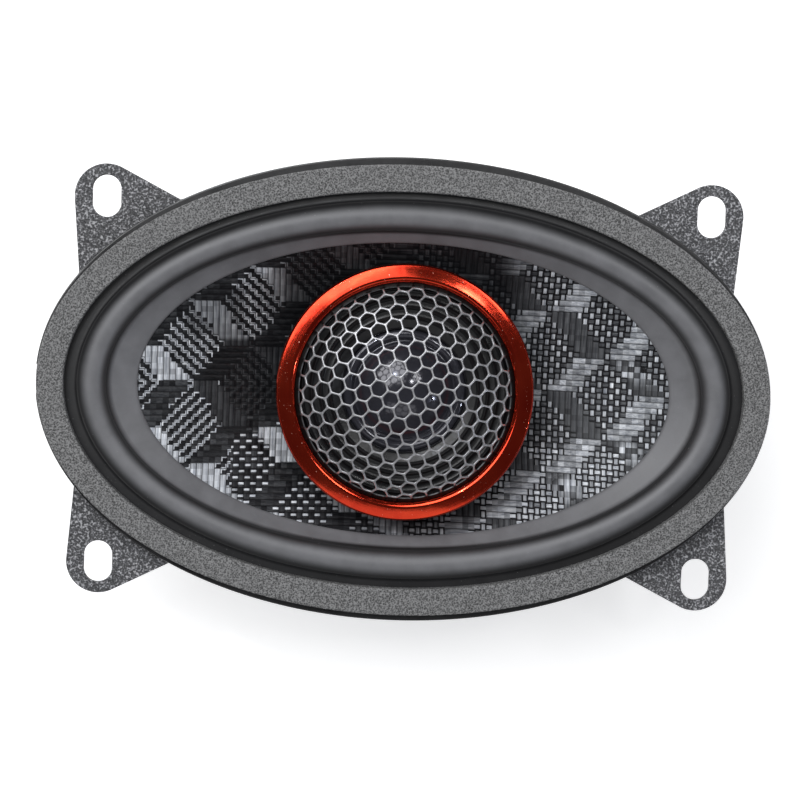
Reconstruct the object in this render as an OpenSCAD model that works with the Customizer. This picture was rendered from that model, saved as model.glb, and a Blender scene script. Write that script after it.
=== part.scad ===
// Oval four-by-six-inch coaxial car speaker, lying on its magnet with the cone facing up.
// The origin is the centre of the flange's rear seating plane. +Z runs out of the cone, +X along the oval.

/* [Flange] */
// Long outside size of the oval rim
rim_long = 153.2; // [140:0.1:190]
// Short outside size of the oval rim
rim_short = 96.8; // [90:0.1:120]
// Sheet thickness of the pressed flange and its ears
flange_t = 1.0; // [0.7:0.1:1.2]
// Screw slot spacing along the oval
slot_spacing_x = 126; // [120:0.1:140]
// Screw slot spacing across the oval
slot_spacing_y = 76.5; // [70:0.1:92]
// Width of each screw slot
slot_w = 5.9; // [4:0.1:6.5]
// End-to-end length of each screw slot
slot_l = 8.7; // [7:0.1:9.5]
// Radius of each ear's round tip
ear_r = 6.7; // [6:0.1:8]

/* [Basket] */
// Room between the rim's edge and the basket's mouth, which passes through the cut-out
mouth_inset = 5.6; // [5:0.1:7]
// Wall thickness of the basket's bowl
bowl_t = 1.0; // [0.8:0.1:1.4]
// Depth of the spider's ledge below the flange's seat
ledge_depth = 17; // [15.5:0.1:20.4]
// Depth of the basket's floor below the flange's seat
floor_depth = 22; // [20.5:0.1:26]
// Width of each window in the basket's ends
end_window_w = 24; // [12:0.5:26]
// Width of each window in the basket's sides
side_window_w = 23; // [12:0.5:24]

/* [Rim ring, surround and gasket] */
// Height of the black ring that lifts the surround off the flange
ring_h = 3.4; // [2:0.1:5]
// Width of the locating notch at each end of the ring
notch_w = 5.7; // [3:0.1:9]
// Depth of the locating notch
notch_depth = 1.4; // [0.5:0.1:2]
// Width of the foam gasket's band
gasket_w = 5.6; // [4:0.1:6]
// Thickness of the foam gasket
gasket_t = 2.5; // [1.5:0.1:4]
// Thickness of the rubber surround
surround_t = 0.45; // [0.3:0.05:0.6]
// Width of the surround's half roll
roll_w = 6.1; // [5:0.1:7]

/* [Cone and coil] */
// Height of the cone's front edge above the flange's seat
cone_edge_z = 4.2; // [3:0.1:4.4]
// Depth of the cone from its edge to its neck
cone_depth = 18.2; // [17.5:0.1:18.8]
// Wall of the cone, measured along Z
cone_t = 0.7; // [0.4:0.1:1]
// Inside radius of the voice coil's former
former_r = 12.7; // [10.6:0.1:13]
// Wall of the voice coil's former
former_t = 0.15; // [0.1:0.05:0.3]
// Height of the voice coil's winding
winding_h = 8; // [6:0.5:9]
// Radial thickness of the winding
winding_t = 0.5; // [0.3:0.1:0.8]

/* [Motor] */
// Radius of the ferrite magnet
magnet_r = 35; // [33:0.5:36]
// Thickness of the ferrite magnet
magnet_h = 11; // [9.5:0.5:14]
// Thickness of the front plate
front_plate_h = 4; // [3:0.5:5]
// Thickness of the back plate
back_plate_h = 6; // [5.5:0.1:8]
// Radial room on each side of the moving coil
gap_clear = 0.4; // [0.3:0.05:0.6]

/* [Tweeter] */
// Outside radius of the coloured metal ring
tweeter_r = 26.6; // [26:0.1:27]
// Radius of the ring's front opening
ring_open_r = 22.7; // [22:0.1:23]
// Height of the ring's front above the flange's seat
tweeter_front_z = 9.6; // [9:0.1:12]
// Rise of the domed mesh above the ring's opening
mesh_rise = 7; // [3:0.1:8]
// Distance between neighbouring hexagons of the mesh
mesh_pitch = 3.25; // [2.5:0.05:6]
// Width of the metal left between hexagons
mesh_web = 0.5; // [0.4:0.05:1]
// Radius of the tweeter's dome
dome_r = 10.2; // [9:0.1:10.4]
// Height of the tweeter's dome
dome_h = 4.3; // [3:0.1:5]
// Outside radius of the hollow post
post_r = 4; // [3.5:0.1:4.5]

/* [Terminals] */
// Width of the wide blade
blade_wide = 6.3; // [4.8:0.1:6.5]
// Width of the narrow blade
blade_narrow = 4.8; // [2.8:0.1:6.5]
// Sheet thickness of the blades
blade_t = 0.8; // [0.5:0.1:1]
// Thickness of the terminal board
board_t = 1.6; // [1:0.1:2.2]

/* [Hidden] */
$fn = 64;
eps = 0.01;
oval_steps = 72;      // corners of every oval outline
over = 1;             // how far a cutter runs past what it cuts

// Flange, basket and rim
rim_a = rim_long / 2;
rim_b = rim_short / 2;
mouth_a = rim_a - mouth_inset;
mouth_b = rim_b - mouth_inset;
ear_root_low = 27;    // where an ear leaves the rim, as angles of the oval
ear_root_high = 51;
ear_root_r = 1;
lip_drop = 4;
knee_a = 41;
knee_b = 37.2;
knee_z = 3.5;         // height of the bowl's knee above the spider's ledge
ledge_r = 36.5;
cup_r = 31.5;         // outside of the round cup below the ledge
floor_hole_r = 17;
window_top = -4.8;
window_low = -13.2;
window_corner = 2.5;
side_window_angle = 61;
window_reach = 90;
rivet_circle_r = 24.5;
rivet_r = 1.9;
rivet_head_r = 3.1;
rivet_head_h = 1.2;
rivet_count = 4;

// Ring, surround and gasket, from the outside in
ring_top = flange_t + ring_h;
ring_inset = 7.3;
gasket_inset_a = 0.5;
gasket_inset_b = 1.6;
gasket_a = rim_a - gasket_inset_a;
gasket_b = rim_b - gasket_inset_b;
skirt_inset = 0.6;
gasket_base = ring_top + surround_t;
gasket_top = gasket_base + gasket_t;
roll_inset = 8.2;     // from the gasket's edge to the roll's outer foot
roll_shift_b = 0.8;   // how much nearer the foot lies to the gasket along the oval's long sides
edge_gap = 0.1;       // between the roll's inner foot and the cone's edge
roll_r = roll_w / 2;
roll_a = gasket_a - roll_inset - roll_r;
roll_b = gasket_b - roll_inset - roll_r + roll_shift_b;
roll_squash = 0.92;
roll_steps = 8;
edge_a = roll_a - roll_r - edge_gap;
edge_b = roll_b - roll_r - edge_gap;
lip_share = 0.125;    // share of the cone's slope that the surround's lip covers
glue_t = 0.05;        // film of glue between the lip and the cone

// Cone, coil and spider
former_out = former_r + former_t;
neck_r = former_out / cos(180 / oval_steps);
neck_z = cone_edge_z - cone_depth;
former_rise = 2.5;    // of the former above the cone's neck
former_top = neck_z + former_rise;
floor_z = -floor_depth;
floor_under = floor_z - bowl_t;
front_plate_z = floor_under - front_plate_h;
winding_mid = front_plate_z + front_plate_h / 2;
winding_low = winding_mid - winding_h / 2;
former_skirt = 0.2;   // of the former below its winding
former_low = winding_low - former_skirt;
ledge_z = -ledge_depth;
spider_t = 0.5;
spider_r = 34.6;
spider_flat_in = 14.2;
spider_flat_out = 30.2;
spider_waves = 6;
spider_wave_h = 0.75;
spider_steps = 8;     // points along each wave

// Motor
magnet_z = front_plate_z - magnet_h;
back_z = magnet_z - back_plate_h;
pole_r = former_r - gap_clear;
pole_top = floor_z - 0.2;
front_plate_r = 31;
back_plate_r = 32.5;
magnet_hole_r = 16.5;
gap_r = former_out + winding_t + gap_clear;
post_hole_r = post_r + 0.05;
recess_r = 9;
recess_depth = 4.8;
channel_w = 3;
channel_depth = 1.6;
chamfer = 0.6;

// Tweeter
housing_t = 1.5;
housing_floor_z = -9.5;
housing_foot_r = 11;
housing_heel_r = 13.5;
housing_heel_z = -8;
housing_r = 24.5;
housing_shoulder_z = 1;
housing_top = 5;
seat_z = 2.8;         // underside of the faceplate
seat_w = 1.5;
faceplate_r = housing_r - housing_t - 0.1;
faceplate_t = 1.2;
faceplate_hole_r = 13;
rib_h = 0.6;
rib_w = 0.7;
rib_count = 4;
ring_wall = 1.6;
ring_low = 2.2;
ring_fit = 0.02;      // room between the ring and what it is pressed over
ring_bevel = 1.3;
mesh_t = 0.5;
mesh_flange_r = 24.2;
mesh_edge_z = tweeter_front_z - ring_bevel - mesh_t;
mesh_foot_r = ring_open_r - 0.1;
mesh_clear_r = mesh_foot_r - 1.2;
mesh_turn = 18;
film_t = 0.2;
film_z = 2.5;
film_r = 14;
film_roll_r = 1.05;
film_seam = 0.5;      // flat band between the dome and its roll
film_roll_mid = dome_r + film_seam + film_roll_r;
dome_steps = 12;
tw_former_r = dome_r;
tw_former_t = 0.12;
tw_winding_t = 0.28;
tw_winding_h = 1.7;
tw_former_low = 0.3;
tw_plate_h = 1.5;
tw_magnet_h = 2.2;
tw_floor_h = 1.6;
tw_yoke_r = 14;
tw_pole_r = tw_former_r - gap_clear;
tw_gap_r = tw_former_r + tw_former_t + tw_winding_t + gap_clear;
tw_magnet_r = 9.2;

// Post, nuts and washer
post_bore_r = 2.5;
nut_flat = 13;        // across the flats
nut_r = nut_flat / 2 / cos(30);
rear_nut_h = 2.2;
front_nut_h = 2.4;
washer_r = 7.6;
washer_t = 0.8;
recess_roof = back_z + recess_depth;
washer_z = recess_roof - washer_t;
rear_nut_z = washer_z - rear_nut_h;
housing_floor_top = housing_floor_z + housing_t;
post_low = rear_nut_z + rear_nut_h / 2;
post_end = 0.2;       // of the post past its front nut
post_high = housing_floor_top + front_nut_h + post_end;
sleeve_foot_r = 9;
sleeve_waist_r = 7;

// Terminals
tongue_w = 11;
tongue_end = -54;
board_w = 28;
board_in = -40;
wire_hole_x = -38;
wire_hole_r = 2;
board_z = floor_z;
board_top = board_z + board_t;
board_rivet_r = 1.3;
board_rivet_head_r = 2.3;
board_rivet_head_h = 0.8;
board_rivet_x = [-46.5, -51.5];
blade_y = 8.8;
blade_in = -41;
blade_out = -63;
blade_hole_r = 0.8;
blade_tip = 1;
eyelet_x = -49;
eyelet_r = 1.1;
eyelet_head_r = 1.9;
eyelet_head_h = 0.5;
cap_r = 2.5;
cap_l = 10;
cap_x = -42;
cap_z = board_top + cap_r;
cap_lead_r = 0.35;
cap_tail = 1.2;

// Wires
wire_r = 0.4;
wire_y = 0.7;
wire_sides = 8;
tinsel_r = 0.45;
wire_steps = 5;       // rings between neighbouring points of a route
run_z = back_z + 0.8; // height of the wires in the back plate's channel
tweeter_route_start = [
    [-17, 0, 2.8], [-17, 0, 1], [-16.4, 0, -2], [-13.5, 0, -4.1], [-8, 0, -4.3],
    [-3.2, 0, -4.3], [-0.6, 0, -5.8], [0, 0, -9], [0, 0, -24], [0, 0, -39]
];
tweeter_route_end = [
    [-0.7, 0, run_z + 1.6], [-3.4, 0, run_z], [-9, 0, run_z], [-22, 0, run_z],
    [-34, 0, run_z], [-36.6, 0, run_z + 1.2], [-37.6, 0, run_z + 5], [wire_hole_x, 0, -32],
    [wire_hole_x, 0, -24]
];
positive_tail = [[-38, -0.5, -19.5], [-38.2, -3.4, -18], [-39.4, -6, -17.9], [-41.6, -6.4, -17.9]];
negative_tail = [[-38, -1.2, -21], [-38, -4.4, -19.4], [-39.4, -7.4, -19.3], [-42, -8.2, -19.3]];
tinsel_route = [
    [-45, 8.8, -19.2], [-46, 8.8, -17], [-46.4, 8.6, -13], [-45, 8.2, -9.4], [-41, 7.4, -8.2],
    [-36, 6.6, -9.4], [-30, 5.8, -12], [-23, 4.8, -14.2], [-17, 3.6, -15.05], [-13.2, 2.8, -15.2]
];

// ---- Shared shapes ----

function oval_points(a, b) =
    [for (i = [0 : oval_steps - 1]) [a * cos(360 * i / oval_steps), b * sin(360 * i / oval_steps)]];

module oval(a, b) {
    polygon(oval_points(a, b));
}

module oval_ring(a, b, width, low, high) {
    translate([0, 0, low]) linear_extrude(high - low) difference() {
        oval(a, b);
        oval(a - width, b - width);
    }
}

// A closed skin through oval rings [a, b, z], the last of which joins the first.
module oval_loop(rings) {
    n = len(rings);
    points = [for (r = rings) for (p = oval_points(r[0], r[1])) [p[0], p[1], r[2]]];
    faces = [
        for (i = [0 : n - 1], j = [0 : oval_steps - 1])
            let (
                i2 = (i + 1) % n * oval_steps,
                i1 = i * oval_steps,
                j2 = (j + 1) % oval_steps
            )
            each [[i1 + j, i1 + j2, i2 + j2], [i1 + j, i2 + j2, i2 + j]]
    ];
    polyhedron(points, faces);
}

module tube(outer, inner, low, high) {
    translate([0, 0, low]) difference() {
        cylinder(h = high - low, r = outer);
        translate([0, 0, -over]) cylinder(h = high - low + 2 * over, r = inner);
    }
}

module disc(r, low, high) {
    translate([0, 0, low]) cylinder(h = high - low, r = r);
}

module hex_nut(low, height) {
    translate([0, 0, low]) difference() {
        cylinder(h = height, r = nut_r, $fn = 6);
        translate([0, 0, -over]) cylinder(h = height + 2 * over, r = post_r);
    }
}

module round_spots(circle_r, count, start = 0) {
    for (i = [0 : count - 1]) rotate([0, 0, start + i * 360 / count]) translate([circle_r, 0, 0]) children();
}

// A point at u from 0 to 1 on the smooth curve between b and c, with neighbours a and d.
function smooth_point(a, b, c, d, u) =
    0.5 * (2 * b + (c - a) * u + (2 * a - 5 * b + 4 * c - d) * u * u + (3 * b - a - 3 * c + d) * u * u * u);

function smooth_path(route) =
    let (last = len(route) - 1)
    [
        for (i = [0 : last - 1], k = [0 : wire_steps - 1])
            smooth_point(
                route[max(i - 1, 0)], route[i], route[i + 1], route[min(i + 2, last)], k / wire_steps
            ),
        route[last]
    ];

function unit(v) = v / norm(v);

// The side direction of each ring, carried along the path so that the tube doesn't twist.
function carried(path, i, side) =
    let (
        last = len(path) - 1,
        ahead = unit(path[min(i + 1, last)] - path[max(i - 1, 0)]),
        here = unit(side - (side * ahead) * ahead)
    )
    i == last ? [[here, ahead]] : concat([[here, ahead]], carried(path, i + 1, here));

module wire(route, r) {
    path = smooth_path(route);
    frames = carried(path, 0, [0.1, 1, 0.05]);
    rings = len(path);
    points = [
        for (i = [0 : rings - 1], k = [0 : wire_sides - 1])
            let (
                side = frames[i][0],
                up = cross(frames[i][1], side),
                turn = 360 * k / wire_sides
            )
            path[i] + r * (cos(turn) * side + sin(turn) * up)
    ];
    walls = [
        for (i = [0 : rings - 2], k = [0 : wire_sides - 1])
            let (
                k2 = (k + 1) % wire_sides,
                i1 = i * wire_sides,
                i2 = i1 + wire_sides
            )
            each [[i1 + k, i2 + k2, i1 + k2], [i1 + k, i2 + k, i2 + k2]]
    ];
    near_end = [for (k = [0 : wire_sides - 1]) k];
    far_end = [for (k = [wire_sides - 1 : -1 : 0]) (rings - 1) * wire_sides + k];
    polyhedron(points, concat(walls, [near_end], [far_end]));
}

function shifted(route, y) = [for (p = route) p + [0, y, 0]];

function mirrored(route) = [for (p = route) [p[0], -p[1], p[2]]];

// ---- Basket ----

module slot_cut() {
    half = slot_l / 2 - slot_w / 2;
    for (side = [-1, 1]) translate([0, side * half, -over]) cylinder(h = flange_t + 2 * over, r = slot_w / 2);
    translate([-slot_w / 2, -half, -over]) cube([slot_w, 2 * half, flange_t + 2 * over]);
}

module at_slots() {
    for (sx = [-1, 1], sy = [-1, 1])
        translate([sx * slot_spacing_x / 2, sy * slot_spacing_y / 2, 0]) children();
}

module ear_outline() {
    hull() {
        translate([slot_spacing_x / 2, slot_spacing_y / 2]) circle(r = ear_r);
        for (t = [ear_root_low : (ear_root_high - ear_root_low) / 2 : ear_root_high])
            translate([(rim_a - ear_root_r) * cos(t), (rim_b - ear_root_r) * sin(t)])
                circle(r = ear_root_r, $fn = 24);
    }
}

module flange_plate() {
    difference() {
        linear_extrude(flange_t) difference() {
            union() {
                oval(rim_a, rim_b);
                for (mx = [0, 1], my = [0, 1]) mirror([mx, 0]) mirror([0, my]) ear_outline();
            }
            oval(mouth_a - bowl_t, mouth_b - bowl_t);
            for (side = [-1, 1]) translate([side * rim_a, 0])
                square([2 * notch_depth, notch_w], center = true);
        }
        at_slots() slot_cut();
    }
}

module bowl() {
    oval_loop([
        [mouth_a, mouth_b, 0],
        [mouth_a - bowl_t, mouth_b - bowl_t, -lip_drop],
        [knee_a, knee_b, ledge_z + knee_z],
        [ledge_r, ledge_r, ledge_z],
        [ledge_r, ledge_r, ledge_z - bowl_t],
        [cup_r, cup_r, ledge_z - bowl_t],
        [cup_r, cup_r, floor_under],
        [cup_r - bowl_t, cup_r - bowl_t, floor_under],
        [cup_r - bowl_t, cup_r - bowl_t, ledge_z],
        [ledge_r - bowl_t, ledge_r - bowl_t, ledge_z],
        [knee_a - 2 * bowl_t, knee_b - bowl_t, ledge_z + knee_z],
        [mouth_a - 3 * bowl_t, mouth_b - 2 * bowl_t, -lip_drop],
        [mouth_a - bowl_t, mouth_b - bowl_t, 0],
        [mouth_a - bowl_t, mouth_b - bowl_t, flange_t],
        [mouth_a, mouth_b, flange_t]
    ]);
}

// A rounded window cut outwards from the axis, in the direction of +X.
module window_cut(width) {
    tall = window_top - window_low;
    rotate([90, 0, 90]) linear_extrude(window_reach) translate([0, (window_top + window_low) / 2])
        offset(r = window_corner, $fn = 32)
            square([width - 2 * window_corner, tall - 2 * window_corner], center = true);
}

module basket() {
    color("dimgray") difference() {
        union() {
            flange_plate();
            bowl();
            disc(cup_r - bowl_t / 2, floor_under, floor_z);
            translate([tongue_end, -tongue_w / 2, floor_under])
                cube([-tongue_end - floor_hole_r - 2, tongue_w, bowl_t]);
        }
        disc(floor_hole_r, floor_under - over, floor_z + over);
        for (turn = [0, 180]) rotate([0, 0, turn]) window_cut(end_window_w);
        for (turn = [side_window_angle, 180 - side_window_angle, 180 + side_window_angle, -side_window_angle])
            rotate([0, 0, turn]) window_cut(side_window_w);
        round_spots(rivet_circle_r, rivet_count, 45) disc(rivet_r, floor_under - over, floor_z + over);
        for (x = board_rivet_x) translate([x, 0, 0]) disc(board_rivet_r, floor_under - over, floor_z + over);
        translate([wire_hole_x, 0, 0]) disc(wire_hole_r, floor_under - over, floor_z + over);
    }
}

// ---- Ring, surround and gasket ----

module spacer_ring() {
    color([0.06, 0.06, 0.06]) difference() {
        oval_ring(rim_a, rim_b, ring_inset, flange_t, ring_top);
        for (side = [-1, 1]) translate([side * rim_a, 0, (flange_t + ring_top) / 2])
            cube([2 * notch_depth, notch_w, ring_h + 2 * over], center = true);
    }
}

module front_gasket() {
    color([0.4, 0.4, 0.4]) oval_ring(gasket_a, gasket_b, gasket_w, gasket_base, gasket_top);
}

// Rings of the half roll at distance r from its centre line, from its outer foot to its inner foot or back.
function roll_rings(r, from, to) =
    [
        for (k = [0 : roll_steps])
            let (turn = from + (to - from) * k / roll_steps)
            [roll_a + r * cos(turn), roll_b + r * cos(turn), gasket_base + roll_squash * r * sin(turn)]
    ];

// A ring of the cone's front face at share f of the way from its edge to its neck, lifted by up.
function cone_ring(f, up = 0) =
    [edge_a + f * (neck_r - edge_a), edge_b + f * (neck_r - edge_b), cone_edge_z - f * cone_depth + up];

module surround() {
    skirt_a = gasket_a - skirt_inset;
    skirt_b = gasket_b - skirt_inset;
    color([0.2, 0.2, 0.21]) oval_loop(concat(
        [[skirt_a, skirt_b, ring_top], [skirt_a, skirt_b, gasket_base]],
        roll_rings(roll_r, 0, 180),
        [cone_ring(0, surround_t), cone_ring(lip_share, surround_t), cone_ring(lip_share, glue_t),
            cone_ring(0, glue_t)],
        roll_rings(roll_r - surround_t, 180, 0),
        [[roll_a + roll_r, roll_b + roll_r, ring_top]]
    ));
}

// ---- Cone, coil and spider ----

module cone() {
    color([0.15, 0.15, 0.16]) oval_loop([
        cone_ring(0), cone_ring(0.5), cone_ring(1), cone_ring(1, -cone_t), cone_ring(0.5, -cone_t),
        cone_ring(0, -cone_t)
    ]);
}

module voice_coil_former() {
    color("tan") tube(former_out, former_r, former_low, former_top);
}

module voice_coil_winding() {
    color([0.72, 0.4, 0.18]) tube(former_out + winding_t, former_out, winding_low, winding_low + winding_h);
}

function spider_wave(z) =
    [
        for (k = [0 : spider_waves * spider_steps])
            let (share = k / (spider_waves * spider_steps))
            [
                spider_flat_in + share * (spider_flat_out - spider_flat_in),
                z + spider_wave_h * sin(360 * spider_waves * share)
            ]
    ];

function reversed(list) = [for (i = [len(list) - 1 : -1 : 0]) list[i]];

module spider() {
    top = ledge_z + spider_t;
    upper = concat([[former_out, top]], spider_wave(top), [[spider_r, top]]);
    lower = concat([[former_out, ledge_z]], spider_wave(ledge_z), [[spider_r, ledge_z]]);
    color([0.75, 0.62, 0.3]) rotate_extrude() polygon(concat(upper, reversed(lower)));
}

// ---- Motor ----

module front_plate() {
    color("silver") difference() {
        tube(front_plate_r, gap_r, front_plate_z, floor_under);
        round_spots(rivet_circle_r, rivet_count, 45) disc(rivet_r, front_plate_z - over, floor_under + over);
    }
}

module ferrite_magnet() {
    color([0.16, 0.16, 0.17]) rotate_extrude() polygon([
        [magnet_hole_r, magnet_z], [magnet_r - chamfer, magnet_z], [magnet_r, magnet_z + chamfer],
        [magnet_r, front_plate_z - chamfer], [magnet_r - chamfer, front_plate_z],
        [magnet_hole_r, front_plate_z]
    ]);
}

module pole_yoke() {
    color("silver") difference() {
        union() {
            disc(back_plate_r, back_z, magnet_z);
            disc(pole_r, magnet_z - eps, pole_top);
        }
        disc(post_hole_r, back_z - over, pole_top + over);
        disc(recess_r, back_z - over, recess_roof);
        translate([-back_plate_r - over, -channel_w / 2, back_z - over])
            cube([back_plate_r + over, channel_w, channel_depth + over]);
    }
}

module motor_rivets() {
    color("gainsboro") round_spots(rivet_circle_r, rivet_count, 45) {
        disc(rivet_r, front_plate_z, floor_z);
        translate([0, 0, floor_z]) rotate_extrude() intersection() {
            scale([1, rivet_head_h / rivet_head_r]) circle(r = rivet_head_r);
            square([rivet_head_r, rivet_head_h]);
        }
    }
}

// ---- Tweeter post ----

module tweeter_post() {
    color("silver") tube(post_r, post_bore_r, post_low, post_high);
}

module post_sleeve() {
    foot_h = 2;
    color([0.08, 0.08, 0.08]) rotate_extrude() polygon([
        [post_hole_r, pole_top], [sleeve_foot_r, pole_top], [sleeve_foot_r, pole_top + foot_h],
        [sleeve_waist_r, pole_top + 2 * foot_h], [sleeve_waist_r, housing_floor_z - foot_h],
        [sleeve_foot_r, housing_floor_z - foot_h / 2], [sleeve_foot_r, housing_floor_z],
        [post_hole_r, housing_floor_z]
    ]);
}

module rear_washer() {
    color("gainsboro") tube(washer_r, post_hole_r, washer_z, recess_roof);
}

module rear_nut() {
    color("gainsboro") hex_nut(rear_nut_z, rear_nut_h);
}

module front_nut() {
    color("gainsboro") hex_nut(housing_floor_top, front_nut_h);
}

// ---- Tweeter ----

module tweeter_housing() {
    inner_heel = housing_heel_r - housing_t / 2;
    color([0.07, 0.07, 0.07]) rotate_extrude() polygon([
        [post_hole_r, housing_floor_z], [housing_foot_r, housing_floor_z],
        [housing_heel_r, housing_heel_z], [housing_r, housing_shoulder_z], [housing_r, housing_top],
        [housing_r - housing_t, housing_top], [housing_r - housing_t, seat_z],
        [housing_r - housing_t - seat_w, seat_z], [housing_r - housing_t - seat_w, housing_shoulder_z],
        [inner_heel - housing_t, housing_floor_top], [post_hole_r, housing_floor_top]
    ]);
}

module tweeter_ring() {
    color([0.85, 0.2, 0.08]) rotate_extrude() polygon([
        [housing_r + ring_fit, ring_low], [tweeter_r - ring_wall / 2, ring_low],
        [tweeter_r, ring_low + ring_wall / 2],
        [tweeter_r, tweeter_front_z - ring_bevel], [tweeter_r - ring_bevel / 2, tweeter_front_z],
        [ring_open_r + ring_bevel, tweeter_front_z - ring_bevel / 3],
        [ring_open_r, tweeter_front_z - ring_bevel], [mesh_flange_r + ring_fit, tweeter_front_z - ring_bevel],
        [mesh_flange_r + ring_fit, housing_top], [housing_r + ring_fit, housing_top]
    ]);
}

module hexagon(r) {
    polygon([for (k = [0 : 5]) [r * sin(60 * k), r * cos(60 * k)]]);
}

module mesh_holes() {
    hole_r = (mesh_pitch - mesh_web) / sqrt(3);
    reach = ceil(mesh_clear_r / mesh_pitch) + 1;
    row = mesh_pitch * sqrt(3) / 2;
    for (j = [-reach : reach], i = [-reach : reach])
        let (x = (i + (j % 2 == 0 ? 0 : 0.5)) * mesh_pitch, y = j * row)
            if (norm([x, y]) + hole_r < mesh_clear_r) translate([x, y]) hexagon(hole_r);
}

module tweeter_grille() {
    rise = mesh_rise + mesh_t;
    ball_r = (mesh_foot_r * mesh_foot_r + rise * rise) / (2 * rise);
    color("gray") rotate([0, 0, mesh_turn]) difference() {
        union() {
            intersection() {
                translate([0, 0, mesh_edge_z + rise - ball_r]) sphere(r = ball_r, $fn = 128);
                disc(mesh_foot_r - eps, mesh_edge_z, mesh_edge_z + rise + over);
            }
            disc(mesh_flange_r, mesh_edge_z, mesh_edge_z + mesh_t);
        }
        translate([0, 0, mesh_edge_z + rise - ball_r]) sphere(r = ball_r - mesh_t, $fn = 128);
        translate([0, 0, mesh_edge_z - over]) linear_extrude(rise + 2 * over) mesh_holes();
    }
}

module tweeter_faceplate() {
    step = (faceplate_r - faceplate_hole_r) / (rib_count + 1);
    top = seat_z + faceplate_t;
    color([0.1, 0.1, 0.11]) {
        tube(faceplate_r, faceplate_hole_r, seat_z, top);
        for (i = [1 : rib_count])
            tube(faceplate_hole_r + i * step + rib_w, faceplate_hole_r + i * step, top, top + rib_h);
    }
}

// The dome's arc from its edge to its apex, on a ball that is larger by lift.
function dome_arc(lift) =
    let (
        ball_r = (dome_r * dome_r + dome_h * dome_h) / (2 * dome_h),
        half = asin(dome_r / ball_r)
    )
    [
        for (k = [0 : dome_steps])
            let (turn = half * (1 - k / dome_steps))
            [
                k == dome_steps ? 0 : (ball_r + lift) * sin(turn),
                film_z + dome_h - ball_r + (ball_r + lift) * cos(turn)
            ]
    ];

function film_roll(r, from, to) =
    [
        for (k = [0 : roll_steps])
            let (turn = from + (to - from) * k / roll_steps)
            [film_roll_mid + r * cos(turn), film_z + r * sin(turn)]
    ];

module tweeter_dome() {
    foot = asin(film_t / (film_roll_r + film_t / 2));
    outer = concat(
        [[film_r, film_z], [film_r, film_z + film_t]],
        film_roll(film_roll_r + film_t / 2, foot, 180 - foot),
        dome_arc(film_t)
    );
    inner = concat(reversed(dome_arc(0)), film_roll(film_roll_r - film_t / 2, 180, 0));
    color([0.12, 0.12, 0.14]) rotate_extrude() polygon(concat(outer, inner));
}

module tweeter_voice_coil() {
    mid = film_z - tw_plate_h / 2;
    out = tw_former_r + tw_former_t;
    color([0.72, 0.4, 0.18]) union() {
        tube(out, tw_former_r, tw_former_low, film_z);
        tube(out + tw_winding_t, out - eps, mid - tw_winding_h / 2, mid + tw_winding_h / 2 - tw_former_t);
    }
}

module tweeter_pole_disc() {
    color("silver") disc(tw_pole_r, film_z - tw_plate_h, film_z);
}

module tweeter_magnet() {
    color([0.55, 0.55, 0.58]) disc(tw_magnet_r, film_z - tw_plate_h - tw_magnet_h, film_z - tw_plate_h);
}

module tweeter_yoke() {
    floor_top = film_z - tw_plate_h - tw_magnet_h;
    color("silver") difference() {
        disc(tw_yoke_r, floor_top - tw_floor_h, film_z);
        disc(tw_gap_r, floor_top, film_z + over);
    }
}

// ---- Terminals ----

module terminal_board() {
    color([0.35, 0.2, 0.1]) difference() {
        translate([tongue_end, -board_w / 2, board_z]) cube([board_in - tongue_end, board_w, board_t]);
        for (x = board_rivet_x) translate([x, 0, 0]) disc(board_rivet_r, board_z - over, board_top + over);
        for (side = [-1, 1]) translate([eyelet_x, side * blade_y, 0])
            disc(eyelet_r, board_z - over, board_top + over);
    }
}

module board_rivets() {
    color("gainsboro") for (x = board_rivet_x) translate([x, 0, 0]) {
        disc(board_rivet_r, floor_under, board_top);
        disc(board_rivet_head_r, board_top, board_top + board_rivet_head_h);
        disc(board_rivet_head_r, floor_under - board_rivet_head_h, floor_under);
    }
}

module blade(width, side) {
    color([0.85, 0.72, 0.35]) difference() {
        translate([0, side * blade_y, board_top]) linear_extrude(blade_t) polygon([
            [blade_in, -width / 2], [blade_in, width / 2], [blade_out + blade_tip, width / 2],
            [blade_out, width / 2 - blade_tip], [blade_out, blade_tip - width / 2],
            [blade_out + blade_tip, -width / 2]
        ]);
        translate([eyelet_x, side * blade_y, 0]) disc(eyelet_r, board_top - over, board_top + blade_t + over);
        translate([blade_out + width / 2, side * blade_y, 0])
            disc(blade_hole_r, board_top - over, board_top + blade_t + over);
    }
}

module terminal_positive() {
    blade(blade_wide, 1);
}

module terminal_negative() {
    blade(blade_narrow, -1);
}

module terminal_eyelets() {
    color([0.8, 0.68, 0.3]) for (side = [-1, 1]) translate([eyelet_x, side * blade_y, 0]) {
        disc(eyelet_r, board_z, board_top + blade_t);
        disc(eyelet_head_r, board_top + blade_t, board_top + blade_t + eyelet_head_h);
        disc(eyelet_head_r, board_z - eyelet_head_h, board_z);
    }
}

module crossover_capacitor() {
    color([0.1, 0.13, 0.3]) translate([cap_x, 0, cap_z]) rotate([90, 0, 0]) {
        translate([0, 0, -cap_l / 2]) cylinder(h = cap_l, r = cap_r);
        translate([0, 0, cap_l / 2]) cylinder(h = cap_tail, r = cap_lead_r);
        translate([0, 0, -cap_l / 2 - 2 * cap_tail]) cylinder(h = 2 * cap_tail, r = cap_lead_r);
    }
    color([0.7, 0.7, 0.7]) translate([cap_x, cap_l / 2 + 2 * cap_tail, 0])
        disc(cap_lead_r, board_top + blade_t, cap_z + cap_lead_r);
}

// ---- Wires ----

module tweeter_lead_positive() {
    run = shifted(concat(tweeter_route_start, tweeter_route_end), wire_y);
    color([0.7, 0.1, 0.08]) wire(concat(run, positive_tail), wire_r);
}

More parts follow.
